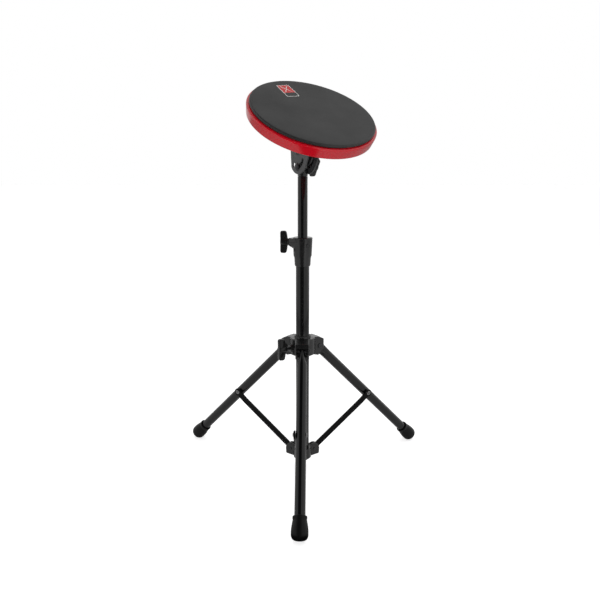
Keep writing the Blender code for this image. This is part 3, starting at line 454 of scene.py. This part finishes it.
# ---------------------------------------------------------------- what a user would change
class PadSizes(bpy.types.PropertyGroup):
    """Sizes of the details that the frame leaves open."""

    round_steps: IntProperty(
        name="Round steps", description="Facets round a tube", default=96, min=24, max=256)
    disc_steps: IntProperty(
        name="Disc steps", description="Facets round the pad", default=192, min=48, max=512)
    face_edge: FloatProperty(
        name="Face edge", description="Radius of the playing face's rounded edge",
        default=0.0026, unit="LENGTH", precision=5)
    shell_lip: FloatProperty(
        name="Shell lip", description="Radius of the shell's top lip",
        default=0.0022, unit="LENGTH", precision=5)
    casting_edge: FloatProperty(
        name="Moulding edge", description="Rounding on the moulded fittings' edges",
        default=0.0006, unit="LENGTH", precision=5)
    sheet_edge: FloatProperty(
        name="Sheet edge", description="Rounding on sheet metal edges",
        default=0.00025, unit="LENGTH", precision=5)
    print_width: FloatProperty(
        name="Print width", description="Width of the printed patch on the face",
        default=0.0225, unit="LENGTH", precision=5)
    print_length: FloatProperty(
        name="Print length", description="Length of the printed patch on the face",
        default=0.0360, unit="LENGTH", precision=5)
    thread_pitch: FloatProperty(
        name="Thread pitch", description="Rise of the wing screws in one turn",
        default=0.0008, unit="LENGTH", precision=5)


class PadFinish(bpy.types.PropertyGroup):
    """Colours of the object's finishes."""

    enamel: FloatVectorProperty(
        name="Tube enamel", description="Enamel on the tubes and straps",
        subtype="COLOR", size=3, min=0, max=1, default=(0.0030, 0.0030, 0.0032))
    moulded: FloatVectorProperty(
        name="Mouldings", description="Plastic of the hub, collar and wings",
        subtype="COLOR", size=3, min=0, max=1, default=(0.0075, 0.0075, 0.0076))
    rubber: FloatVectorProperty(
        name="Feet", description="Rubber of the feet",
        subtype="COLOR", size=3, min=0, max=1, default=(0.0030, 0.0030, 0.0030))
    bracket: FloatVectorProperty(
        name="Bracket", description="Enamel on the tilt bracket",
        subtype="COLOR", size=3, min=0, max=1, default=(0.034, 0.0345, 0.036))
    shell: FloatVectorProperty(
        name="Shell", description="Gloss finish of the pad's shell",
        subtype="COLOR", size=3, min=0, max=1, default=(0.48, 0.0035, 0.012))
    face: FloatVectorProperty(
        name="Playing face", description="Rubber of the playing face",
        subtype="COLOR", size=3, min=0, max=1, default=(0.0120, 0.0122, 0.0122))


# ---------------------------------------------------------------- the pad
class PAD_OT_playing_face(bpy.types.Operator):
    """Moulded rubber playing face with its printed patch"""

    bl_idname = "practice_pad.playing_face"
    bl_label = "Playing face"

    def execute(self, context):
        size, mat = context.scene.pad_sizes, finishes()
        at = pad_frame()
        origin, n = at.translation, Vector(FACE["axis"]).normalized()
        low, high = span("playing_surface", origin, n)
        across = at.col[1].to_3d()
        radius = span("playing_surface", origin, across)[1]
        e = size.face_edge
        profile = [(0, low), (radius - 0.0014, low), (radius - 0.0002, low + 0.0008),
                   (radius, low + 0.0014)]
        profile += [(radius - e + r, high - e + z) for r, z in arc(e, 0, math.pi / 2, 8)]
        profile += [(radius * f, high) for f in (0.9, 0.7, 0.45, 0.2)] + [(0, high)]
        bm = bmesh.new()
        spun(bm, profile, size.disc_steps)
        piece("playing_face", bm, at, mat["face"], "pad", ["playing_surface"])
        finish_node("foam_layer", mat["foam"])
        self.patch(context, at, high, mat)
        return {"FINISHED"}

    def patch(self, context, at, top, mat):
        """Printed patch: a white edge, a red panel with a pair of crossed sticks, a dark end."""
        size = context.scene.pad_sizes
        length, width = size.print_length, size.print_width
        panel, across, end = length - PATCH_EDGE, width - PATCH_EDGE, length * 0.30
        low, middle, high = PRINT_HEIGHTS
        turn = (Matrix.Translation((*PATCH_PLACE, top))
                @ Matrix.Rotation(PATCH_TURN, 4, "Z"))
        shift = Matrix.Translation(((panel - end) / 2, 0, 0))
        for name, outline, finish, height, place in (
                ("patch_edge", rounded_box(length, width, 0.0022), "print white", low, turn),
                ("patch_panel", rounded_box(panel, across, PATCH_CORNER), "print red", middle,
                 turn),
                ("patch_end", rounded_box(end, across, PATCH_CORNER), "face", high,
                 turn @ shift)):
            bm = bmesh.new()
            raised(bm, outline, height)
            piece(name, bm, at @ place, mat[finish], "pad")
        reach = length * 0.30
        upper = [(reach, 0.0), (reach * 0.97, 0.00072), (reach * 0.90, 0.00066),
                 (reach * 0.86, 0.00030), (reach * 0.55, 0.00048), (-reach, 0.00055)]
        outline = ([(x, -y) for x, y in reversed(upper[1:])] + upper + [(-reach - 0.0005, 0.0)])
        sticks = []
        for lean in (-34.0, 34.0):
            bm = bmesh.new()
            raised(bm, outline, high)
            bmesh.ops.rotate(bm, verts=bm.verts, cent=(0, 0, 0),
                             matrix=Matrix.Rotation(math.radians(lean), 3, "Z"))
            sticks.append(bm)
        turn = turn @ Matrix.Translation((-length * 0.14, 0, 0))
        piece("patch_sticks", joined(sticks), at @ turn, mat["print white"], "pad")


class PAD_OT_red_shell(bpy.types.Operator):
    """Red shell under the playing face"""

    bl_idname = "practice_pad.red_shell"
    bl_label = "Red shell"

    def execute(self, context):
        size, mat = context.scene.pad_sizes, finishes()
        at = pad_frame()
        origin, n = at.translation, Vector(FACE["axis"]).normalized()
        low, high = span("pad_base", origin, n)
        foam_low = span("foam_layer", origin, n)[0]
        across = at.col[1].to_3d()
        wide = span("pad_base", origin, across)[1]
        pocket = span("foam_layer", origin, across)[1] + PLAY
        foot, turn_in = wide - 0.0023, 0.0017
        lip = size.shell_lip
        profile = [(0, low), (0.052, low), (0.0524, low + 0.0006), (0.0548, low + 0.0006),
                   (0.0552, low), (foot - 0.0095, low), (foot - 0.0091, low + 0.0005),
                   (foot - 0.0074, low + 0.0005), (foot - 0.0070, low)]
        profile += [(foot - turn_in + r, low + turn_in + z)
                    for r, z in arc(turn_in, -math.pi / 2, 0, 6)]
        profile += [(wide, high - lip - 0.0010)]
        profile += [(wide - lip + r, high - lip + z)
                    for r, z in arc(lip, math.radians(6), math.pi / 2, 9)]
        profile += [(pocket, high), (pocket, foam_low - PLAY), (0, foam_low - PLAY)]
        bm = bmesh.new()
        spun(bm, profile, size.disc_steps)
        piece("red_shell", bm, at, mat["shell"], "pad", ["pad_base"], smooth=42)
        return {"FINISHED"}


class PAD_OT_tilter(bpy.types.Operator):
    """Bracket, screws, pivot, clamp bolt and wing nut that set the pad's angle"""

    bl_idname = "practice_pad.tilter"
    bl_label = "Tilter"

    def execute(self, context):
        size, mat = context.scene.pad_sizes, finishes()
        refined("bracket_sheet", "tilt_bracket", mat["bracket"], "pad",
                size.sheet_edge)
        for k in range(1, 5):
            refined("bracket_screw_head_%d" % k, "bracket_screw_%d" % k, mat["steel"], "pad",
                    0.00015, 1)
        refined("mast_tongue", "mast_head", mat["moulded"], "mast", 0.0004)
        at = tilt_frame()
        y = joint_axis("pad_tilt")
        pin = along(at.translation, y)
        low, high = span("tilt_pivot_pin", at.translation, y)
        rise = 0.0017
        head = dome(0.0050, rise, 0, 20, 40, 60, 78)
        profile = [(0, high)] + [(r, high - rise + z) for r, z in reversed(head)]
        profile += [(ROD, high - rise), (ROD, low + rise)]
        profile += [(r, low + rise - z) for r, z in head] + [(0, low)]
        bm = bmesh.new()
        spun(bm, profile, 40)
        piece("pivot_rivet", bm, pin, mat["steel"], "mast", ["tilt_pivot_pin"],
              smooth=50)
        self.clamp(context, y, mat)
        return {"FINISHED"}

    def clamp(self, context, y, mat):
        """Round-headed bolt through both slots, its washer and the wing nut."""
        at = joint_point("tilt_screw_turn")
        rod = along(at, y)
        low, high = span("clamp_bolt", at, y)
        ear = span("tilt_washer", at, y)[0] - PLAY
        rise, square = 0.0031, 0.0024
        head = dome(0.0065, rise, 0, 12, 28, 46, 64, 80)
        profile = [(0, low)] + [(r, low + rise - z) for r, z in reversed(head)]
        profile += [(0.0020, low + rise), (0.0020, low + 0.008), (ROD, low + 0.0083),
                    (ROD, ear - 0.002), (0, ear - 0.002)]
        bm = bmesh.new()
        spun(bm, profile, 48)
        neck = bmesh.new()
        slab(neck, [(-square, -square), (square, -square), (square, square), (-square, square)],
             0, square)
        bmesh.ops.rotate(neck, verts=neck.verts, cent=(0, 0, 0),
                         matrix=Matrix.Rotation(math.pi / 2, 3, "X"))
        bmesh.ops.translate(neck, verts=neck.verts, vec=(0, 0, low + 0.0029))
        shaft = thread(bmesh.new(), ROD, ear - 0.003, high, context.scene.pad_sizes.thread_pitch)
        piece("clamp_bolt_turned", joined([bm, neck, shaft]), rod, mat["steel"], "mast",
              ["clamp_bolt"], smooth=45)
        low, high = span("tilt_washer", at, y)
        bm = bmesh.new()
        spun(bm, [(0.0028, low), (0.0064, low), (0.0064, high), (0.0028, high)], 48, ring=True)
        soften(bm, 0.00015)
        piece("tilt_washer_disc", bm, rod, mat["steel"], "mast", ["tilt_washer"])
        finish_node("tilt_nut", mat["steel"])
        lean = Vector((math.sin(TILT_WING_LEAN), 0, math.cos(TILT_WING_LEAN)))
        long_way = tilt_frame().to_3x3() @ lean
        low, high = span("tilt_knob", at, y)
        bm = wing(TILT_WING[0], high - low, TILT_WING[1])
        bmesh.ops.translate(bm, verts=bm.verts, vec=(0, 0, low))
        piece("tilt_wing", bm, along(at, y, long_way), mat["wing"], "tilt_screw", ["tilt_knob"])


def wing(length, depth, thick):
    """Wing head: +Z is away from the thread and the wings lie along X."""
    h = length / 2
    half = [(0.0006, 0.0046), (0.0018, 0.0062), (depth * 0.18, h * 0.66),
            (depth * 0.24, h - 0.0024), (depth * 0.34, h - 0.0006), (depth * 0.52, h),
            (depth * 0.84, h - 0.0003), (depth * 0.95, h - 0.0012), (depth, h - 0.0034),
            (depth * 0.985, h * 0.30)]
    outline = [(x, z) for z, x in half] + [(-x, z) for z, x in reversed(half)]
    bar = bmesh.new()
    slab(bar, outline, -thick / 2, thick / 2)
    rim = [e for e in bar.edges if abs(e.verts[0].co.y - e.verts[1].co.y) < 1e-9]
    soften(bar, 0.0017, 4, edges=rim)
    hub = bmesh.new()
    spun(hub, [(0, 0), (0.0056, 0), (0.0061, 0.0030), (0.0058, depth - 0.0016),
               (0.0050, depth - 0.0003), (0.0040, depth), (0.0034, depth - 0.0006),
               (0, depth - 0.0006)], 40)
    soften(hub, 0.0003)
    return joined([bar, hub])


# ---------------------------------------------------------------- tubes and collar
def long_tube(name, node, at, mat, body):
    """Open tube with its cut edges broken."""
    origin, end = at.translation, 0.0003
    low, high = span(node, origin, at.col[2].to_3d())
    radius = span(node, origin, at.col[0].to_3d())[1]
    inner = radius - TUBE_WALL
    bm = bmesh.new()
    profile = [(inner, low), (radius - end, low), (radius, low + end), (radius, high - end),
               (radius - end, high), (inner, high)]
    spun(bm, profile, bpy.context.scene.pad_sizes.round_steps, ring=True)
    piece(name, bm, at, mat, body, [node], smooth=50)


class PAD_OT_column(bpy.types.Operator):
    """Upper and lower tubes, the height collar and its wing screw"""

    bl_idname = "practice_pad.column"
    bl_label = "Column and collar"

    def execute(self, context):
        size, mat = context.scene.pad_sizes, finishes()
        at = tube_frame()
        long_tube("upper_mast_tube", "upper_tube", at, mat["tube"], "mast")
        long_tube("column_tube", "main_tube", at, mat["tube"], "column")
        refined("collar_moulding", "height_collar", mat["moulded"], "column",
                size.casting_edge)
        refined("collar_stake", "collar_rivet", mat["moulded"], "column", 0.0002)
        low, high = span("tube_end_plug", at.translation, UP)
        r = span("tube_end_plug", at.translation, Vector((1, 0, 0)))[1]
        bm = bmesh.new()
        spun(bm, [(0, low + 0.0006), (0.0060, low + 0.0006), (0.0064, low), (r - 0.0010, low),
                  (r, low + 0.0010), (r, low + 0.0027), (r - 0.0015, low + 0.0027),
                  (r - 0.0015, high), (0, high)], 64)
        piece("end_plug", bm, at, mat["moulded"], "column", ["tube_end_plug"])
        for node in ("mast_guide", "collar_shoe", "hub_shoe"):
            finish_node(node, mat["nylon"])
        wing_screw("collar", context, mat)
        return {"FINISHED"}


def wing_screw(prefix, context, mat):
    """Moulded wing on its stud, upright as it stands when clamped."""
    name = prefix + "_screw_turn"
    at, out = joint_point(name), joint_axis(name)
    low, high = span(prefix + "_knob", at, out)
    bm = wing(WING[0], high - low, WING[1])
    bmesh.ops.translate(bm, verts=bm.verts, vec=(0, 0, low))
    piece(prefix + "_wing", bm, along(at, out), mat["wing"], prefix + "_screw",
          [prefix + "_knob"])
    low, high = span(prefix + "_stud", at, out)
    rod = thread(bmesh.new(), ROD, low, high - 0.001, context.scene.pad_sizes.thread_pitch)
    piece(prefix + "_thread", rod, along(at, out), mat["steel"], prefix + "_screw",
          [prefix + "_stud"], smooth=45)


# ---------------------------------------------------------------- tripod
class PAD_OT_hub(bpy.types.Operator):
    """Leg hub, its sleeve, pins and wing screw"""

    bl_idname = "practice_pad.hub"
    bl_label = "Leg hub"

    def execute(self, context):
        size, mat = context.scene.pad_sizes, finishes()
        at = tube_frame()
        refined("hub_moulding", "leg_hub", mat["moulded"], "hub", size.casting_edge)
        origin = at.translation
        low, high = span("hub_bush", origin, UP)
        main = span("main_tube", origin, Vector((1, 0, 0)))[1]
        top = span("leg_hub", origin, UP)[1]
        inner, outer, flange = main + PLAY, main + 0.0015, main + 0.0024
        bm = bmesh.new()
        spun(bm, [(inner, low), (outer, low), (outer, top + PLAY), (flange, top + PLAY),
                  (flange, high - 0.0003), (main + 0.0021, high), (main + 0.0006, high),
                  (inner, high - 0.0003)], 80, ring=True)
        piece("hub_sleeve", bm, at, mat["nylon"], "hub", ["hub_bush"])
        for key in LEGS:
            rivet("leg_rivet_" + key, "leg_pin_" + key, "leg_fold_" + key, "hub", ROD,
                  dome(0.0042, 0.0016, 0, 22, 44, 66, 82), 0.0016, mat["steel"])
        wing_screw("hub", context, mat)
        return {"FINISHED"}


def rivet(name, node, joint, body, core, head, rise, mat):
    """Solid pin with the same low round head at both ends."""
    at, y = joint_point(joint), joint_axis(joint)
    low, high = span(node, at, y)
    profile = [(0, high)] + [(r, high - rise + z) for r, z in reversed(head)]
    profile += [(core, high - rise), (core, low + rise)]
    profile += [(r, low + rise - z) for r, z in head] + [(0, low)]
    bm = bmesh.new()
    spun(bm, profile, 36)
    piece(name, bm, along(at, y), mat, body, [node], smooth=50)


def tube_stations(bm, stations, steps):
    """Tube drawn through stations of (distance, half width along X, half width along Y)."""
    z, hx, hy = stations[0]
    ring = bmesh.ops.create_circle(bm, cap_ends=False, radius=1.0, segments=steps)["verts"]
    bmesh.ops.scale(bm, verts=ring, vec=(hx, hy, 1))
    bmesh.ops.translate(bm, verts=ring, vec=(0, 0, z))
    edges = list({e for v in ring for e in v.link_edges})
    first = edges
    for (z0, x0, y0), (z1, x1, y1) in zip(stations, stations[1:]):
        out = bmesh.ops.extrude_edge_only(bm, edges=edges)["geom"]
        ring = [g for g in out if isinstance(g, bmesh.types.BMVert)]
        edges = [g for g in out
                 if isinstance(g, bmesh.types.BMEdge) and all(v in ring for v in g.verts)]
        bmesh.ops.translate(bm, verts=ring, vec=(0, 0, -z0))
        bmesh.ops.scale(bm, verts=ring, vec=(x1 / x0, y1 / y0, 1))
        bmesh.ops.translate(bm, verts=ring, vec=(0, 0, z1))
    return first, edges


class PAD_OT_legs(bpy.types.Operator):
    """Three legs with pressed ends and rubber feet"""

    bl_idname = "practice_pad.legs"
    bl_label = "Legs and feet"

    def execute(self, context):
        mat = finishes()
        for key in LEGS:
            at = leg_frame(key)
            origin, down, side = at.translation, at.col[2].to_3d(), at.col[1].to_3d()
            low, high = span("leg_" + key, origin, down)
            r = span("leg_" + key, origin, side)[1]
            flat, wide, inner = 0.0042, r + 0.0006, r - TUBE_WALL
            pressed, swell = 0.0090, 0.0190     # end of the flat, length of the change to round
            stations = [(low, 0.0030, flat - 0.0012), (low + 0.0006, wide * 0.42, flat - 0.0006),
                        (low + 0.0016, wide * 0.60, flat - 0.0001),
                        (low + 0.0030, wide * 0.78, flat), (low + 0.0055, wide * 0.94, flat),
                        (0.0, wide, flat), (pressed, wide, flat + 0.0002)]
            for k in range(1, 10):
                s = k / 9
                ease = s * s * (3 - 2 * s)
                stations.append((pressed + swell * s, wide + (r - wide) * ease,
                                 flat + 0.0002 + (r - flat - 0.0002) * ease))
            stations += [(high, r, r), (high, inner, inner), (0.030, inner, inner)]
            bm = bmesh.new()
            first, last = tube_stations(bm, stations, 72)
            bmesh.ops.holes_fill(bm, edges=first, sides=0)
            bmesh.ops.holes_fill(bm, edges=last, sides=0)
            piece("leg_tube_" + key, bm, at, mat["tube"], "leg_" + key, ["leg_" + key],
                  smooth=50)
            self.foot(key, at, r, mat)
        return {"FINISHED"}

    def foot(self, key, at, tube, mat):
        """Moulded cup with a collar, a swelling body and a worn flat where it stands."""
        origin, down = at.translation, at.col[2].to_3d()
        top, end = span("foot_" + key, origin, down)
        bulb = span("foot_" + key, origin, at.col[1].to_3d())[1]
        bore, neck, lip = tube + PLAY, tube + 0.0021, tube + 0.0026
        profile = [(bore, end - 0.005), (bore, top + 0.0030), (tube + 0.0012, top + 0.0004),
                   (lip - 0.0007, top), (lip, top + 0.0007), (lip, top + 0.0034),
                   (neck, top + 0.0043)]
        for k in range(1, 7):
            s = k / 6
            swell = (bulb - tube - 0.0021) * math.sin(s * math.pi / 2) ** 1.15
            profile.append((neck + swell, top + 0.0043 + 0.0175 * s))
        profile += [(bulb - 0.0056 + 0.0056 * math.cos(a), end - 0.0080 + 0.0080 * math.sin(a))
                    for a in map(math.radians, (8, 20, 33, 46, 59, 72, 82))]
        profile += [(bulb - 0.0062, end), (0, end), (0, end - 0.005)]
        bm = bmesh.new()
        spun(bm, profile, 72)
        bm.transform(at)
        cut = bmesh.ops.bisect_plane(bm, geom=[*bm.verts, *bm.edges, *bm.faces], dist=1e-7,
                                     plane_co=(0, 0, 0), plane_no=(0, 0, -1), clear_outer=True)
        edges = [g for g in cut["geom_cut"] if isinstance(g, bmesh.types.BMEdge)]
        if edges:
            bmesh.ops.holes_fill(bm, edges=edges, sides=0)
        piece("foot_cup_" + key, bm, Matrix(), mat["foot"], "leg_" + key, ["foot_" + key],
              smooth=40)


class PAD_OT_straps(bpy.types.Operator):
    """Lower spider, the three straps and their rivets"""

    bl_idname = "practice_pad.straps"
    bl_label = "Spider and straps"

    def execute(self, context):
        size, mat = context.scene.pad_sizes, finishes()
        refined("spider_moulding", "lower_spider", mat["moulded"], "column",
                size.casting_edge * 0.7)
        refined("spider_screw_head", "spider_screw", mat["steel"], "column", 0.0002)
        for key in LEGS:
            rivet("strap_pin_" + key, "brace_pin_" + key, "strap_fold_" + key, "column", 0.0018,
                  dome(0.0029, 0.0008, 0, 22, 44, 66, 82), 0.0008, mat["steel"])
            refined("strap_bar_" + key, "brace_" + key, mat["strap"], "brace_" + key,
                    size.sheet_edge * 1.6)
            self.hollow_rivets(key, mat)
        return {"FINISHED"}

    def hollow_rivets(self, key, mat):
        """Rolled rivet in the leg and its rolled eyelet in the strap."""
        y = joint_axis("leg_fold_" + key)
        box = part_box("brace_rivet_" + key)
        at = (box[0] + box[1]) / 2
        low, high = span("brace_rivet_" + key, at, y)
        centre = (leg_frame(key).translation - at).dot(y)
        if high - centre > centre - low:
            y, low, high = -y, -high, -low
        bm = bmesh.new()
        spun(bm, [(HOLLOW, low + 0.0004), (0.0016, low + 0.0001), (0.0022, low),
                  (0.0030, low + 0.0003), (0.0036, low + 0.0009), (0.0037, low + 0.0011),
                  (0.0023, low + 0.0011), (0.0023, high), (HOLLOW, high)], 36, ring=True)
        piece("rolled_rivet_" + key, bm, along(at, y), mat["rivet"], "leg_" + key,
              ["brace_rivet_" + key], smooth=55)
        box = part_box("brace_eyelet_" + key)
        at = (box[0] + box[1]) / 2
        low, high = span("brace_eyelet_" + key, at, y)
        bm = bmesh.new()
        spun(bm, [(HOLLOW, low), (0.0023, low), (0.0023, high - 0.0011), (0.0037, high - 0.0011),
                  (0.0036, high - 0.0009), (0.0030, high - 0.0003), (0.0022, high),
                  (0.0016, high - 0.0001), (HOLLOW, high - 0.0004)], 36, ring=True)
        piece("rolled_eyelet_" + key, bm, along(at, y), mat["rivet"], "brace_" + key,
              ["brace_eyelet_" + key], smooth=55)


# ---------------------------------------------------------------- stage
class PAD_OT_stage(bpy.types.Operator):
    """Pale floor, soft studio light and the camera"""

    bl_idname = "practice_pad.stage"
    bl_label = "Stage"

    def execute(self, context):
        scene = context.scene
        scene.view_settings.view_transform = "Standard"
        bm = bmesh.new()
        bmesh.ops.create_grid(bm, x_segments=8, y_segments=8, size=14.0)
        mesh = bpy.data.meshes.new("floor")
        bm.to_mesh(mesh)
        bm.free()
        floor = bpy.data.objects.new("floor", mesh)
        scene.collection.objects.link(floor)
        mesh.materials.append(self.ground())
        self.sky(scene)
        for name, place, aim, width, height, power in LIGHTS:
            light = bpy.data.lights.new(name, "AREA")
            light.shape = "RECTANGLE"
            light.size, light.size_y, light.energy = width, height, power
            obj = bpy.data.objects.new(name, light)
            obj.location = place
            away = Vector(place) - Vector(aim)
            obj.rotation_euler = away.to_track_quat("Z", "Y").to_euler()
            obj.visible_glossy = False
            scene.collection.objects.link(obj)
        camera = bpy.data.cameras.new("camera")
        camera.lens, camera.sensor_width = CAMERA_LENS, CAMERA_SENSOR
        camera.clip_start, camera.clip_end = 0.01, 60.0
        obj = bpy.data.objects.new("camera", camera)
        obj.location = CAMERA_PLACE
        look = Vector(CAMERA_LOOK).normalized()
        obj.rotation_euler = look.to_track_quat("-Z", "Y").to_euler()
        scene.collection.objects.link(obj)
        scene.camera = obj
        return {"FINISHED"}

    def surround(self, t, unit):
        """1 where the white screens stand, at both sides and behind, and 0 over the camera.

        The direction's Y is returned too.
        """
        part = t.nodes.new("ShaderNodeSeparateXYZ")
        link(t, unit, part.inputs[0])
        off = self.maths(t, "ABSOLUTE", self.maths(t, "SUBTRACT", part.outputs["X"], GAP_MIDDLE))
        side = self.ramp(t, off, *GAP_EDGES, 0.0, 1.0)
        back = self.ramp(t, part.outputs["Y"], 0.10, 0.55, 0.0, 1.0)
        return self.maths(t, "MAXIMUM", side, back), part.outputs["Y"]

    def ramp(self, t, value, low, high, first, last):
        """Smooth change from the first level to the last, as the value goes from low to high."""
        r = t.nodes.new("ShaderNodeMapRange")
        r.interpolation_type = "SMOOTHSTEP"
        for key, level in zip(("From Min", "From Max", "To Min", "To Max"),
                              (low, high, first, last)):
            r.inputs[key].default_value = level
        link(t, value, r.inputs["Value"])
        return r.outputs["Result"]

    def maths(self, t, operation, *values):
        """Maths node fed with numbers and sockets in order."""
        m = t.nodes.new("ShaderNodeMath")
        m.operation = operation
        for k, v in enumerate(values):
            if isinstance(v, (int, float)):
                m.inputs[k].default_value = v
            else:
                link(t, v, m.inputs[k])
        return m.outputs[0]

    def ground(self):
        """White sweep that looks evenly lit to the camera. For every other ray its colour is painted shade and
        light, standing in for the dark of the room in front: dark in front, white at the sides, behind and close
        to the object.
        """
        mat = bpy.data.materials.new("pale floor")
        mat.use_nodes = True
        t = mat.node_tree
        b = t.nodes["Principled BSDF"]
        b.inputs["Roughness"].default_value = 0.9
        b.inputs["Specular IOR Level"].default_value = 0.0
        b.inputs["Emission Color"].default_value = (1, 1, 1, 1)
        coords, path = t.nodes.new("ShaderNodeTexCoord"), t.nodes.new("ShaderNodeLightPath")
        level, unit, length = (t.nodes.new("ShaderNodeVectorMath") for _ in range(3))
        level.operation, unit.operation, length.operation = "MULTIPLY", "NORMALIZE", "LENGTH"
        level.inputs[1].default_value = (1, 1, 0)
        link(t, coords.outputs["Object"], level.inputs[0])
        link(t, level.outputs[0], unit.inputs[0])
        link(t, level.outputs[0], length.inputs[0])
        # painted light and shade in the floor's colour: white at the sides, behind and near the object, painted
        # dark in front; the camera always sees it white
        side, _ = self.surround(t, unit.outputs[0])
        near = self.ramp(t, length.outputs["Value"], 0.05, 0.17, 1.0, 0.0)
        seen = path.outputs["Is Camera Ray"]
        white = self.maths(t, "MAXIMUM", self.maths(t, "MAXIMUM", side, near), seen)
        tone = t.nodes.new("ShaderNodeCombineColor")
        for k in range(3):
            link(t, self.maths(t, "MULTIPLY_ADD", white, 0.78, 0.02), tone.inputs[k])
        link(t, tone.outputs[0], b.inputs["Base Color"])
        link(t, self.maths(t, "MULTIPLY", seen, FLOOR_GLOW), b.inputs["Emission Strength"])
        return mat

    def sky(self, scene):
        """White surround, with the dark of the room behind the camera as the object mirrors it."""
        world = bpy.data.worlds.new("surround")
        world.use_nodes = True
        scene.world = world
        t = world.node_tree
        t.nodes.clear()
        out, seen = t.nodes.new("ShaderNodeOutputWorld"), t.nodes.new("ShaderNodeBackground")
        lit, mix = t.nodes.new("ShaderNodeBackground"), t.nodes.new("ShaderNodeMixShader")
        path, coords = t.nodes.new("ShaderNodeLightPath"), t.nodes.new("ShaderNodeTexCoord")
        seen.inputs["Color"].default_value = (1, 1, 1, 1)
        seen.inputs["Strength"].default_value = 1.0
        screens, y = self.surround(t, coords.outputs["Generated"])
        brightness = self.ramp(t, y, -0.2, 0.9, 0.78, 1.0)
        strength = self.maths(t, "MULTIPLY_ADD", screens, brightness, 0.012)
        link(t, strength, lit.inputs["Strength"])
        link(t, path.outputs["Is Camera Ray"], mix.inputs["Fac"])
        link(t, lit.outputs[0], mix.inputs[1])
        link(t, seen.outputs[0], mix.inputs[2])
        link(t, mix.outputs[0], out.inputs["Surface"])


STEPS = (PAD_OT_playing_face, PAD_OT_red_shell, PAD_OT_tilter, PAD_OT_column, PAD_OT_hub,
         PAD_OT_legs, PAD_OT_straps, PAD_OT_stage)


class PAD_PT_panel(bpy.types.Panel):
    """Practice pad steps, sizes and finishes"""

    bl_label = "Practice pad"
    bl_idname = "PAD_PT_panel"
    bl_space_type = "VIEW_3D"
    bl_region_type = "UI"
    bl_category = "Practice pad"

    def draw(self, context):
        layout = self.layout
        for group in (context.scene.pad_sizes, context.scene.pad_finish):
            box = layout.box()
            for key in group.bl_rna.properties.keys():
                if key not in {"rna_type", "name"}:
                    box.prop(group, key)
        for step in STEPS:
            layout.operator(step.bl_idname)


CLASSES = (PadSizes, PadFinish, *STEPS, PAD_PT_panel)


def register():
    for cls in CLASSES:
        bpy.utils.register_class(cls)
    bpy.types.Scene.pad_sizes = PointerProperty(type=PadSizes)
    bpy.types.Scene.pad_finish = PointerProperty(type=PadFinish)


def unregister():
    del bpy.types.Scene.pad_finish
    del bpy.types.Scene.pad_sizes
    for cls in reversed(CLASSES):
        bpy.utils.unregister_class(cls)


def main():
    register()
    bpy.ops.practice_pad.stage()
    bpy.ops.practice_pad.playing_face()
    bpy.ops.practice_pad.red_shell()
    bpy.ops.practice_pad.tilter()
    bpy.ops.practice_pad.column()
    bpy.ops.practice_pad.hub()
    bpy.ops.practice_pad.legs()
    bpy.ops.practice_pad.straps()
    bpy.context.view_layer.update()


if __name__ == "__main__":
    main()
